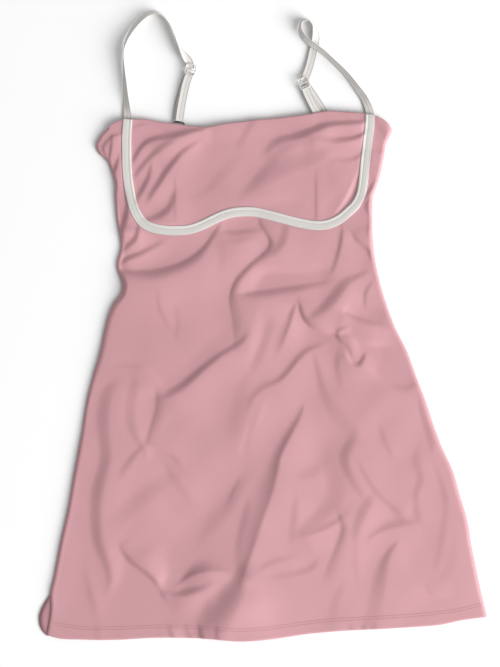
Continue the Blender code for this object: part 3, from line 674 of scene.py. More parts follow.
@dataclass(frozen=True)
class Knit:
    """Smooth double knit: fine wales and courses, a soft sheen and a faint unevenness of dye.

    Attributes:
        colour: base colour, linear.
        wale: pitch of the wales, in metres.
        courses: courses for each wale.
        roughness: base roughness.
        depth: height of the loops, in metres.
    """

    colour: tuple[float, float, float] = (0.480, 0.252, 0.274)
    wale: float = 0.00062
    courses: float = 0.8
    roughness: float = 0.62
    depth: float = 0.00006

    def material(self, name: str) -> Finish:
        """The finish, on object coordinates.

        The loops are the product of two sines at the wale's pitch, one along each direction, and the colour
        drifts by two scales of noise.
        """
        shader = Shader(name, self.colour, self.roughness, Sheen_Weight=0.22, Sheen_Roughness=0.45,
                        Specular_IOR_Level=0.34)
        x, y = shader.split(shader.place())
        pitch = 2 * math.pi / self.wale
        loops = (x * pitch).sine() * (y * (pitch * self.courses)).sine()
        broad, grain = shader.noise(9.0, 3.0), shader.noise(900.0)
        shader.set("Base Color", shader.tint(broad * 0.7 + grain * 0.3, 0.955, 1.045))
        shader.set("Roughness", 0.12 * grain + (self.roughness - 0.06))
        shader.bump(loops * 0.5 + grain * 0.8, self.depth, 0.5)
        return shader.material


@dataclass(frozen=True)
class Elastic:
    """Ivory elastic: fine cords along its length and a crosswise weft, on the strip's own UV in metres.

    Attributes:
        colour: base colour, linear.
        cord, weft: pitch of the cords across and of the weft along.
        lines: darker lines along the strip, as place across, half width and share of the colour left. They
            are
        painted shade, in grooves and along edges.
        highlight_from: place across past which it is paler: a painted highlight over the rolled edge.
        highlight_blend: width over which the painted highlight fades in.
        depth: height of the cords, in metres.
    """

    colour: tuple[float, float, float] = (0.545, 0.525, 0.50)
    cord: float = 0.0011
    weft: float = 0.0007
    lines: tuple[tuple[float, float, float], ...] = ()
    highlight_from: float | None = None
    highlight_blend: float = 0.0006
    depth: float = 0.00012

    def material(self, name: str) -> Finish:
        """The finish: the cords are a sine across the strip, the weft a sine along it."""
        shader = Shader(name, self.colour, 0.55, Sheen_Weight=0.12, Specular_IOR_Level=0.4)
        along, across = shader.split(shader.node("ShaderNodeUVMap", {"uv_map": "UVMap"}))
        cords, weft = ((place * (2 * math.pi / pitch)).sine() * 0.5 + 0.5
                       for place, pitch in ((across, self.cord), (along, self.weft)))
        grain = shader.noise(500.0)
        tone = shader.tint(cords * 0.55 + grain * 0.45, 0.93, 1.05)
        # Painted shade: darker lines along the grooves and edges.
        for place, half, share in self.lines:
            dark = shader.fade((across - place).absolute(), 0.0, half)
            tone = shader.mix(dark, tone, rgba(self.colour, share))
        # Painted highlight: paler over the rolled edge.
        if self.highlight_from is not None:
            painted_highlight = shader.fade(across, self.highlight_from, self.highlight_from - self.highlight_blend)
            tone = shader.mix(painted_highlight * 0.8, tone, rgba(self.colour, 1.07))
        shader.set("Base Color", tone)
        shader.set("Roughness", 0.2 * grain + 0.46)
        shader.bump(cords * 0.8 + weft * 0.35 + grain * 0.3, self.depth, 0.6)
        return shader.material


@dataclass(frozen=True)
class Mottled:
    """A plain finish whose tone follows one noise.

    Attributes:
        colour, roughness: base colour, linear, and base roughness.
        tones: factors on the colour at the noise's 0 and 1.
        scale, detail: of the noise.
        gloss: the noise's factor and the number added for the roughness, where it follows the noise too.
        depth: height of the noise as bumps, in metres.
        fixed: further Principled sockets, with underscores for spaces.
    """

    colour: tuple[float, float, float]
    roughness: float
    tones: tuple[float, float]
    scale: float
    detail: float = 2.0
    gloss: tuple[float, float] | None = None
    depth: float = 0.0
    fixed: dict[str, float] = field(default_factory=dict)

    def material(self, name: str) -> Finish:
        """The finish, on object coordinates."""
        shader = Shader(name, self.colour, self.roughness, **self.fixed)
        noise = shader.noise(self.scale, self.detail)
        shader.set("Base Color", shader.tint(noise, *self.tones))
        if self.gloss:
            shader.set("Roughness", noise * self.gloss[0] + self.gloss[1])
        if self.depth:
            shader.bump(noise, self.depth, 0.5)
        return shader.material


def thread(colour: tuple[float, float, float]) -> Mottled:
    """Sewing thread: a little shinier than its cloth, with a fine twist."""
    return Mottled(colour, 0.5, (0.92, 1.06), 1500.0, depth=0.00005, fixed={"Sheen_Weight": 0.1})


# Milky moulded plastic with a faint flow in it, and dark plated wire, dulled where it rubs.
PLASTIC = Mottled((0.74, 0.72, 0.69), 0.25, (0.9, 1.08), 260.0, gloss=(0.2, 0.18),
                  fixed={"Transmission_Weight": 0.25, "IOR": 1.49, "Coat_Weight": 0.3})
METAL = Mottled((0.10, 0.095, 0.10), 0.35, (0.7, 1.7), 420.0, 3.0, (0.3, 0.22), fixed={"Metallic": 1.0})


# ---- relief

@dataclass(frozen=True)
class Relief:
    """The lie of the front: a soft puff over the back, rounded side folds, and creases.

    A pair holds for a size that grows with a value: its first number times the value, plus its second.

    Attributes:
        base: height of the wall's middle where it lies straight on the back.
        puff: height added away from the edges.
        left_round, wing_round, right_round: how far in the quarter ellipses of the side folds reach: at the
            left, at the left wing, and at the right.
        wing_start, wing_blend: height where the left fold begins to tighten, and how far it takes.
        side_drop: how far the side folds turn down past the back's edge.
        hem_puff, hem_share: share of the puff and of the creases left at the hem.
        hem_reach: how far up from the hem both take to grow.
        neck_lift, neck_reach: rise of the rolled neckline, and how far down it fades.
        depth: factor on every crease's steepness.
        crisp: power of a crisp flank's climb.
        spread, blend, past: pairs for the flank's width: how far a ridge or a trough reaches, over what
            length a bend is rounded, and how far a crease fades past its route's ends.
        reach: how many spreads past its flank a crease is worked out.
        steps: pair for the number of stops: steps along a crease's route.
        bound_share: share of the creases' depth left under the binding.
        bound_from, bound_blend: where beside the binding's middle it starts to grow, and how far it takes.
        sway: a slow drift's height and its wave lengths along x, along y and slanting.
        ripple: a finer drift's height, and for x and then for y the wave's length, how far it wanders, and
            the wander's own length.
        soft, sink: how gently low places are held above the back, and what is taken off for it.
    """

    base: float = 2.2
    puff: float = 3.4
    left_round: float = 7.2
    wing_round: float = 4.2
    wing_start: float = 105.0
    wing_blend: float = 40.0
    right_round: float = 3.5
    side_drop: float = 1.1
    hem_puff: float = 0.35
    hem_reach: float = 60.0
    neck_lift: float = 1.4
    neck_reach: float = 26.0
    depth: float = 0.95
    crisp: float = 2.4
    spread: tuple[float, float] = (1.5, 8.0)
    blend: tuple[float, float] = (0.5, 2.5)
    past: tuple[float, float] = (0.8, 3.0)
    reach: float = 3.0
    steps: tuple[int, int] = (6, 24)
    hem_share: float = 0.4
    bound_share: float = 0.2
    bound_from: float = 3.5
    bound_blend: float = 5.0
    sway: tuple[float, float, float, float] = (0.35, 31, 43, 90)
    ripple: tuple[float, ...] = (0.22, 10.5, 1.6, 37, 17, 1.3, 45)
    soft: float = 0.6
    sink: float = 0.38

    def creases(self) -> list[Crease]:
        """Every crease of the front, with the hem's puckers."""
        puckers = [Crease([(x + share * lean, y, width, factor * steep)
                           for share, y, width, factor in PUCKER_STOPS]) for x, lean, steep in HEM_PUCKERS]
        return BUST_CREASES + WING_CREASES + WAIST_CREASES + SKIRT_CREASES + puckers

    def crease_height(self, points: Array, crease: Crease) -> Array:
        """One crease's height at each point.

        The point's signed distance from the route is a mean of its distances from the nearest stretches.
        Across the flank the height climbs as a smoothstep, or as the power `crisp`, steepest at the top or at
        the foot. Beyond the flank the ridge and the trough each fade as a bell curve, and all of it fades
        towards the route's ends and past them.
        """
        curve = smooth_curve(crease.stops, grown(self.steps, len(crease.stops)))
        route = (curve[:, :2] - FRAME_ZERO) * [STEP_MM, -STEP_MM]
        width, steep = curve[:, 2] * STEP_MM, curve[:, 3] * self.depth
        reach = self.reach * grown(self.spread, width.max())
        low, high = route.min(axis=0) - reach, route.max(axis=0) + reach
        inside = np.flatnonzero(((points > low) & (points < high)).all(axis=1))
        height = np.zeros(len(points))
        if not len(inside):
            return height
        way = heading(route)
        normal = leftward(way)
        sign = math.copysign(1, float((normal @ np.array(HIGH_SIDE)).sum())) * (-1 if crease.turned else 1)
        offset = points[inside][:, None, :] - route[None, :, :]
        square = (offset ** 2).sum(axis=2)
        nearest = square.min(axis=1)
        blend = grown(self.blend, width)
        weight = np.exp(-(square - nearest[:, None]) / (2 * blend ** 2))
        weight /= weight.sum(axis=1)[:, None]
        side = (weight * (offset * normal[None]).sum(axis=2)).sum(axis=1) * sign
        share = weight @ np.linspace(0, 1, len(route))
        width, steep = weight @ width, weight @ steep
        climb = np.clip(side / width + 0.5, 0, 1)
        rise = {Keen.SOFT: smoothstep(climb), Keen.TOP: climb ** self.crisp,
                Keen.FOOT: 1 - (1 - climb) ** self.crisp}[crease.keen]
        spread = grown(self.spread, width)
        fall = bell(np.maximum(np.abs(side) - width / 2, 0) / spread)
        fade = smoothstep(share / crease.ends) * smoothstep((1 - share) / crease.ends)
        before = -((points[inside] - route[0]) @ way[0])
        beyond = (points[inside] - route[-1]) @ way[-1]
        past = np.maximum(np.maximum(before, beyond), 0) / grown(self.past, width)
        height[inside] = steep * width * (rise - 1 + crease.ridge) * fall * fade * bell(past)
        return height

    @staticmethod
    def distance(points: Array, route: Rows) -> Array:
        """Distance in plan from each point to a smooth curve through the route.

        The curve is a chain of short stretches. The nearest place on a stretch is the point's projection on
        it, held between its ends.
        """
        curve = smooth_curve(route, DISTANCE_STEPS)
        start, span = curve[:-1], np.diff(curve, axis=0)
        found = []
        for part in np.array_split(points, max(1, len(points) // DISTANCE_POINTS)):
            x, y = part[:, :1] - start[:, 0], part[:, 1:] - start[:, 1]
            place = np.clip((x * span[:, 0] + y * span[:, 1]) / (span ** 2).sum(axis=1), 0, 1)
            found.append(np.hypot(x - place * span[:, 0], y - place * span[:, 1]).min(axis=1))
        return np.concatenate(found)

    def drift(self, points: Array) -> Array:
        """The cloth's slow unevenness: a product of two sines, and a finer one whose waves wander."""
        x, y = points.T
        high, wide, tall, slant = self.sway
        fine, wave_x, wander_x, bend_y, wave_y, wander_y, bend_x = self.ripple
        return (high * np.sin(x / wide) * np.sin(y / tall + x / slant)
                + fine * np.sin(x / wave_x + wander_x * np.sin(y / bend_y))
                * np.sin(y / wave_y + wander_y * np.sin(x / bend_x)))

    def height(self, points: Array) -> Array:
        """Height of the middle of the front's wall at each point, in millimetres.

        The puff and the neckline's lift grow over the quarter ellipses of the side folds, and the creases and
        the drift are added. The sum t is held above 0 as half of t plus the root of t squared plus `soft`.
        """
        wing = smoothstep((points[:, 1] - self.wing_start) / self.wing_blend)
        left_round = self.left_round + (self.wing_round - self.left_round) * wing
        side = np.minimum(self.distance(points, LEFT_EDGE) / left_round,
                          self.distance(points, RIGHT_EDGE) / self.right_round)
        rounded = np.sqrt(1 - (1 - np.clip(side, 0, 1)) ** 2)
        hem = smoothstep(self.distance(points, HEM) / self.hem_reach)
        neck = smoothstep(self.distance(points, NECKLINE) / self.neck_reach)
        bound = smoothstep((self.distance(points, BUST_SEAM) - self.bound_from) / self.bound_blend)
        puff = self.puff * rounded * (self.hem_puff + (1 - self.hem_puff) * hem)
        lift = self.neck_lift * rounded * (1 - neck)
        folds = sum(self.crease_height(points, crease) for crease in self.creases())
        folds = folds * smoothstep(side) * (self.hem_share + (1 - self.hem_share) * hem)
        folds = folds * (self.bound_share + (1 - self.bound_share) * bound)
        total = puff + lift + folds + self.drift(points) * rounded
        held = 0.5 * (total + np.sqrt(total ** 2 + self.soft))
        return self.base - self.side_drop * (1 - rounded) + held - self.sink


# ---- pieces

@dataclass
class Front:
    """The two front panels: the bust, and the body with its wings.

    Attributes:
        relief: the lie of the front.
        knit: the finish.
        wall: thickness of the cloth.
        seam_gap: gap between the panels, under the binding.
        left, middle, right: columns of cells across the wings and the middle.
        body_rows, bust_rows: rows of cells.
    """

    relief: Relief
    knit: Finish
    wall: float = 1.1
    seam_gap: float = 0.5
    left: int = 24
    middle: int = 170
    right: int = 16
    body_rows: int = 218
    bust_rows: int = 84

    def seam(self) -> Array:
        """The body's upper edge: across both wings' feet and along the wave."""
        left = smooth_curve([LEFT_SIDE[-1], WING_FEET[0], WAVE[0]], self.left)
        right = smooth_curve([WAVE[-1], WING_FEET[1], RIGHT_SIDE[-1]], self.right)
        wave = smooth_curve(WAVE, self.middle)
        return np.concatenate([left[:-1], wave, right[1:]]) - [0, self.seam_gap / 2]

    def wing_plan(self, foot: Array, neck: Rows, left: Rows, right: Rows) -> Array:
        """Plan grid of a wing that stands on its foot, an end of the seam."""
        grid = patch(foot, neck, left, right, len(foot) - 1, self.bust_rows)
        grid[0] = foot
        return grid

    def body_plans(self) -> list[Array]:
        """Plan grids of the body and its wings."""
        seam = self.seam()
        body = patch(HEM, seam, LEFT_SIDE, RIGHT_SIDE, len(seam) - 1, self.body_rows)
        body[-1] = seam
        left = self.wing_plan(seam[: self.left + 1], NECK_LEFT, LEFT_WING, ARM_LEFT[::-1])
        right = self.wing_plan(seam[-self.right - 1:], NECK_RIGHT, ARM_RIGHT, RIGHT_WING)
        left[1:, -1, 0] -= self.seam_gap / 2
        right[1:, 0, 0] += self.seam_gap / 2
        return [body, left, right]

    def bust_plan(self) -> Array:
        """Plan grid of the bust panel."""
        grid = patch(WAVE, NECK_MIDDLE, ARM_LEFT[::-1], ARM_RIGHT, self.middle, self.bust_rows)
        grid[0, :, 1] += self.seam_gap / 2
        grid[:, 0, 0] += self.seam_gap / 2
        grid[:, -1, 0] -= self.seam_gap / 2
        return grid

    def build(self) -> list[Piece]:
        """Builds both panels as thin shells on the relief."""
        pieces = []
        for part, plans in (("body", self.body_plans()), ("bust", [self.bust_plan()])):
            name = f"{part}_cloth"
            mesh = new_mesh(name, *sew([on_height(plan, self.relief.height) for plan in plans]))
            pieces.append(add_piece(name, mesh, self.knit, [f"front_{part}"], self.wall))
        return pieces


@dataclass
class Back:
    """The back panel, flat on the surface, its inner face up.

    Attributes:
        knit: the finish, a darker copy of the front's knit: painted shade where the back shows past the
            front's edge.
        wall: thickness of the cloth.
        inset: how far inside the front's sides it ends.
        neck_drop: how far below the front's neckline it ends.
        corner_top: height below which the left corner has its own outline.
        left_top, right_top: heights where the sides end.
        hem_rise: how far above the front's hem it ends.
        foot_rise, foot_top: the same for the right side's foot, and the height below which it holds.
        columns, rows: cells across and up.
    """

    knit: Finish
    wall: float = 1.2
    inset: float = 2.6
    neck_drop: float = 16.0
    corner_top: float = -300.0
    left_top: float = 236.0
    right_top: float = 242.0
    hem_rise: float = 2.0
    foot_rise: float = 3.0
    foot_top: float = -360.0
    columns: int = 90
    rows: int = 110

    def build(self) -> Piece:
        """Builds the panel as a level patch between its edges."""
        left = BACK_CORNER + [(x + self.inset, y) for x, y in LEFT_EDGE
                              if self.corner_top < y < self.left_top]
        right = [(x - self.inset, y + self.foot_rise * (y < self.foot_top)) for x, y in RIGHT_EDGE
                 if y < self.right_top]
        hem = [BACK_CORNER[0], *((x, y + self.hem_rise) for x, y in HEM[1:-1]), right[0]]
        neck = [left[-1], *((x, y - self.neck_drop) for x, y in NECK_MIDDLE), right[-1]]
        plan = patch(hem, neck, left, right, self.columns, self.rows)
        level = on_height(plan, lambda points: np.full(len(points), self.wall / 2))
        mesh = new_mesh("back_cloth", *sew([level]))
        return add_piece("back_cloth", mesh, self.knit, ["back_panel"], self.wall)


@dataclass
class Binding:
    """The ivory binding over the bust's seams: a rolled inner edge, a groove and a flat band.

    Attributes:
        relief: the lie of the front.
        elastic: the finish.
        width, wall: size across.
        lift: gap between the front's face and the binding.
        front_wall: thickness of the front.
        thread_lift: height of a stitch's middle over the binding.
        roll, notch, crown: height, and where across it lies, of each part of the profile.
        notch_width: width of the notch, as a share of the strip's.
        columns, steps: cells across and along.
    """

    relief: Relief
    elastic: Finish
    width: float = 11.5
    wall: float = 0.6
    lift: float = 0.15
    front_wall: float = 1.1
    thread_lift: float = 0.05
    roll: tuple[float, float] = (0.26, 0.27)
    notch: tuple[float, float] = (0.16, 0.31)
    crown: tuple[float, float] = (0.18, 0.33)
    notch_width: float = 0.035
    columns: int = 22
    steps: int = 420

    def thread_height(self) -> float:
        """Height of a stitch on the binding over the middle of the front's wall."""
        return self.front_wall / 2 + self.lift + self.wall + self.thread_lift

    def profile(self, place: Array) -> Array:
        """Height across, from the inner edge at 0 to the outer at 1.

        A half-sine roll over the inner quarter, a bell-shaped notch after it, and a half-sine crown from
        there to the outer edge.
        """
        (roll, roll_end), (notch, notch_at), (crown, crown_from) = self.roll, self.notch, self.crown
        return (roll * arch(place / roll_end)
                - notch * bell((place - notch_at) / self.notch_width)
                + crown * arch((place - crown_from) / (1 - crown_from)))

    def build(self) -> Piece:
        """Builds the strip on the front's points, moved out.

        The columns run from the left of the route to its right, so the faces are turned over.
        """
        plan = smooth_curve(BUST_SEAM, self.steps)
        place = np.linspace(0.5, -0.5, self.columns + 1)
        across = place * self.width
        grid = plan[:, None] + across[None, :, None] * leftward(heading(plan))[:, None]
        lift = (self.front_wall + self.wall) / 2 + self.lift
        points = on_height(grid, lambda flat: self.relief.height(flat) + lift)
        points[:, :, 2] += self.profile(0.5 - place)[None]
        mesh = strip_mesh("binding", points, plan, across, -1)
        return add_piece("binding", mesh, self.elastic, ["trim"], self.wall)


# Stops of the straps' ribbons: x, y, height and roll in degrees.
STRAP_ROUTES = {
    Side.LEFT: [(-169.4, 249, 2.3, 0), (-169.8, 262, 2.4, 10), (-171.0, 280, 3.2, 42), (-172.4, 303, 5.0, 64),
                (-173.9, 325, 6.0, 78), (-173.8, 341, 6.2, 88), (-171.2, 354, 6.0, 72),
                (-164.6, 367, 5.4, 60), (-153.5, 381, 4.8, 54), (-144.0, 388.4, 4.8, 56),
                (-134.4, 390.6, 5.2, 66), (-125.4, 386.4, 5.8, 78), (-117.6, 377, 6.2, 86),
                (-110.4, 361, 6.4, 86), (-104.2, 346.5, 6.2, 76), (-98.4, 337, 5.0, 40),
                (-93.4, 330, 4.2, 8), (-90.8, 320, 4.2, 0)],
    Side.RIGHT: [(133.6, 255, 2.3, 0), (133.0, 267, 2.4, 6), (127.4, 282, 3.4, 34), (117.4, 296.4, 5.2, 48),
                 (104.6, 312.6, 6.4, 58), (87.8, 329.4, 7.2, 65), (70.6, 344.2, 8.2, 64),
                 (57.8, 353.2, 8.4, 58), (49.6, 361.6, 7.4, 62), (46.2, 370.6, 6.4, 72),
                 (48.6, 378.4, 6.0, 78), (55.4, 381.2, 6.0, 78), (62.0, 376.0, 5.8, 72),
                 (65.4, 366, 4.0, 40), (65.2, 355, 2.0, 8), (62.6, 344, 1.6, 0), (59.8, 331, 1.8, 0),
                 (55.6, 317, 2.8, 0), (50.6, 305, 4.4, 0)],
}
RETURN_UPPER = {
    Side.LEFT: [(-91.2, 316.5, 4.5, 0), (-95.9, 303, 4.3, 0), (-99.8, 286, 4.2, 0), (-102.8, 270, 4.2, 0),
                (-104.8, 255.4, 4.2, 0)],
    Side.RIGHT: [(51.6, 299.5, 4.5, 0), (55.2, 290, 4.3, 0), (60.4, 279, 4.2, 0), (66.2, 268, 4.2, 0),
                 (71.6, 257.8, 4.2, 0)],
}
RETURN_LOWER = {
    Side.LEFT: [(-92.4, 315.5, 1.2, 0), (-98.6, 300, 1.0, 0), (-103.6, 283, 1.0, 0), (-106.6, 267, 1.2, 0),
                (-107.2, 255.4, 1.9, 0)],
    Side.RIGHT: [(52.8, 301.5, 1.2, 0), (60.2, 291, 1.0, 0), (68.2, 279, 1.0, 0), (75.0, 267.5, 1.2, 0),
                 (77.6, 257.8, 1.9, 0)],
}
TABS = {
    Side.LEFT: [(-106.4, 246.4, 2.6, 0), (-107.6, 238, 2.2, 0), (-109.4, 224, 2.2, 0)],
    Side.RIGHT: [(75.8, 249.2, 2.6, 0), (78.0, 241, 2.2, 0), (81.4, 228, 2.2, 0)],
}
# Where the fittings lie: x, y, height and turn in degrees.
SLIDERS = {Side.LEFT: (-90.6, 319.2, 6.3, -14), Side.RIGHT: (51.0, 302.4, 6.3, 26)}
RINGS = {Side.LEFT: (-105.4, 250.9, 3.0, -8), Side.RIGHT: (74.9, 253.4, 3.0, 14)}
# A strap's ribbons: the piece's name and the CAD node without the side, the stops, and the steps along.
RIBBONS = (("ribbon_{}", "strap_{}", STRAP_ROUTES, 260),
           ("ribbon_{}_upper", "strap_{}_upper", RETURN_UPPER, 60),
           ("ribbon_{}_lower", "strap_{}_lower", RETURN_LOWER, 60), ("ring_tab_{}", "tab_{}", TABS, 24))


@dataclass(frozen=True)
class Fitting:
    """A rectangular wire loop with round corners.

    Attributes:
        length, width: size along and across the strap.
        wire: thickness.
        barred: whether a bar lies across its middle.
        bar: the bar's radius as a share of the wire's thickness.
        power: of the superellipse that the loop follows.
        steps, sides, bar_steps: points round the loop, round the wire, and along the bar.
    """

    length: float
    width: float
    wire: float
    barred: bool
    bar: float = 0.42
    power: float = 5.0
    steps: int = 64
    sides: int = 12
    bar_steps: int = 9

    def mesh(self, name: str, middle: Sequence[float], turn: float) -> Mesh:
        """Builds the loop, and its bar where it has one.

        The centre line is a superellipse, and a circle is carried round it. The bar is a straight round rod
        between the long sides.

        Args:
            name: the mesh's name.
            middle: x, y and height of its middle.
            turn: its turn about the height, in degrees.

        Returns:
            The mesh.
        """
        angle = math.radians(turn)
        side = np.array([math.cos(angle), math.sin(angle), 0.0])
        way = np.array([-math.sin(angle), math.cos(angle), 0.0])
        up = np.array([0.0, 0.0, 1.0])
        wide, long = self.width - self.wire, self.length - self.wire
        a, b = (np.sign(turns) * np.abs(turns) ** (2 / self.power) * span / 2
                for turns, span in zip(circle(self.steps), (wide, long)))
        centre = np.array(middle) + a * side + b * way
        out = np.cross(unit(np.roll(centre, -1, axis=0) - np.roll(centre, 1, axis=0)), up)
        cosine, sine = circle(self.sides)
        points = (centre[:, None] + self.wire / 2 * (cosine * out[:, None] + sine * up)).reshape(-1, 3)
        faces = (grid_faces(self.steps + 1, self.sides, closed=True) % len(points))[:, [0, 3, 2, 1]]
        if self.barred:
            line = np.array(middle) + (np.linspace(-0.5, 0.5, self.bar_steps) * wide)[:, None] * side
            rod = line[:, None] + self.bar * self.wire * (cosine * way + sine * up)
            faces = np.concatenate([faces, grid_faces(self.bar_steps, self.sides, len(points), closed=True)])
            points = np.concatenate([points, rod.reshape(-1, 3)])
        return new_mesh(name, points, faces)


SLIDER = Fitting(15.0, 14.0, 1.4, True)
RING = Fitting(8.0, 14.5, 1.7, False)


@dataclass
class Strap:
    """One shoulder strap with its doubled end, tab, slider and ring.

    Attributes:
        side: left or right.
        elastic, plastic, metal: the finishes.
        width, wall: size of the ribbon across.
        clear: height of its lowest edge over the surface.
        bead: the bead along each edge: its height, place and width, the last two as shares of half the width.
        dip: the dip along the middle: its depth and width, likewise.
        columns: cells across.
    """

    side: Side
    elastic: Finish
    plastic: Finish
    metal: Finish
    width: float = 10.5
    wall: float = 1.15
    clear: float = 0.3
    bead: tuple[float, float, float] = (0.22, 0.82, 0.14)
    dip: tuple[float, float] = (0.1, 0.2)
    columns: int = 14

    def ribbon(self, name: str, node: str, stops: Rows, count: int) -> Piece:
        """Builds a stretch of ribbon.

        The strip's flat direction is level and square to the way, and the roll turns it about the way. Point
        (i, j) is the centre i, plus the side vector times place j across, plus the up vector times the
        profile's height at j: a bell-shaped bead along each edge and a bell-shaped dip along the middle.

        Args:
            name: the piece's name.
            node: the CAD node that it stands for.
            stops: x, y, height and roll in degrees.
            count: steps along.

        Returns:
            The piece.
        """
        line = smooth_curve(stops, count)
        centre, roll = line[:, :3].copy(), np.radians(line[:, 3:4])
        way = heading(centre)
        flat = unit(np.stack([way[:, 1], -way[:, 0], np.zeros(len(way))], axis=1))
        over = np.cross(flat, way)
        side = flat * np.cos(roll) + over * np.sin(roll)
        up = np.cross(side, way)
        reach = self.width / 2 * np.abs(side[:, 2]) + self.wall / 2 * np.abs(np.cos(roll[:, 0])) + self.clear
        centre[:, 2] = np.maximum(centre[:, 2], reach)
        half = np.linspace(-1, 1, self.columns + 1)
        bead, bead_at, bead_width = self.bead
        dip, dip_width = self.dip
        raised = bead * bell((np.abs(half) - bead_at) / bead_width) - dip * bell(half / dip_width)
        place = np.linspace(-0.5, 0.5, self.columns + 1) * self.width
        grid = centre[:, None] + place[None, :, None] * side[:, None] + raised[None, :, None] * up[:, None]
        mesh = strip_mesh(name, grid, centre, place)
        return add_piece(name, mesh, self.elastic, [node], self.wall)

    def build(self) -> list[Piece]:
        """Builds every piece of the strap and returns its ribbons."""
        tag = self.side.value
        ribbons = [self.ribbon(name.format(tag), node.format(tag), stops[self.side], count)
                   for name, node, stops, count in RIBBONS]
        for name, node, fitting, places, finish, slot in (
                ("adjuster", "slider", SLIDER, SLIDERS, self.plastic, Slot.PLASTIC),
                ("loop", "ring", RING, RINGS, self.metal, Slot.METAL)):
            *middle, turn = places[self.side]
            mesh = fitting.mesh(f"{name}_{tag}", middle, turn)
            add_piece(f"{name}_{tag}", mesh, finish, [f"{node}_{tag}"])
        return ribbons


# A stitch's rings along it and points round each, and the faces that close its first and last ring of six.
STITCH_RINGS, STITCH_SIDES = 6, 6
FIRST_CAP, LAST_CAP = np.array([[0, 5, 4, 3], [0, 3, 2, 1]]), np.array([[0, 1, 2, 3], [0, 3, 4, 5]])


@dataclass
class Stitches:
    """A row of stitches that lies on the front, each a small rounded thread.

    Attributes:
        relief: the lie of the front.
        thread: the finish.
        length, pitch: of one stitch and from one to the next.
        thick: the thread's thickness.
        rise: height over the middle of the front's wall.
        steps: steps along the row's line, to measure it.
        tip: place of the last ring, with the stitch's end at 1.
    """

    relief: Relief
    thread: Finish
    length: float = 2.3
    pitch: float = 3.2
    thick: float = 0.5
    rise: float = 0.62
    steps: int = 400
    tip: float = 0.96

    def build(self, name: str, route: Rows, slot: Slot, rise: float | None = None) -> Piece:
        """Builds the row.

        A stitch is a ring of six sides swept along its length, its radius the square root of one minus the
        fourth power of the place, so that its ends are round.

        Args:
            name: the piece's name.
            route: the row's line in plan.
            slot: not used.
            rise: another height over the middle of the wall.

        Returns:
            The piece.
        """
        count = int(lengths(smooth_curve(route, self.steps))[-1] // self.pitch)
        ends = smooth_curve(route, 2 * count)
        middle, way = ends[1::2], unit(ends[2::2] - ends[:-2:2])
        over = self.rise if rise is None else rise
        low, high = (np.concatenate([plan, self.relief.height(plan)[:, None] + over], axis=1)
                     for plan in (middle - way * self.length / 2, middle + way * self.length / 2))
        ahead = unit(high - low)
        side = unit(np.cross(ahead, [0.0, 0.0, 1.0]))
        up = np.cross(side, ahead)
        place = np.linspace(-self.tip, self.tip, STITCH_RINGS)
        radius = self.thick / 2 * np.sqrt(1 - place ** 4)
        spine = low[:, None] + (place[None, :, None] + 1) / 2 * (high - low)[:, None]
        cosine, sine = circle(STITCH_SIDES)
        ring = cosine * side[:, None, None] + sine * up[:, None, None]
        points = spine[:, :, None] + radius[None, :, None, None] * ring
        faces = np.concatenate([grid_faces(STITCH_RINGS, STITCH_SIDES, closed=True), FIRST_CAP,
                                STITCH_SIDES * (STITCH_RINGS - 1) + LAST_CAP])[:, ::-1]
        numbers = (np.arange(count) * (STITCH_RINGS * STITCH_SIDES))[:, None, None] + faces[None]
        mesh = new_mesh(name, points.reshape(-1, 3), numbers.reshape(-1, 4))
        return add_piece(name, mesh, self.thread)


# ---- studio

@dataclass(frozen=True)
class Lamp:
    """A square soft light: its direction in degrees from +X and from the floor, size, power and distance."""

    azimuth: float
    elevation: float
    size: float
    power: float
    away: float


LAMPS = {"key": Lamp(-28.0, 35.0, 4.2, 398.0, 6.0), "low": Lamp(-30.0, 13.0, 4.2, 350.0, 5.4),
         "fill": Lamp(95.0, 14.0, 2.0, 16.0, 2.6)}


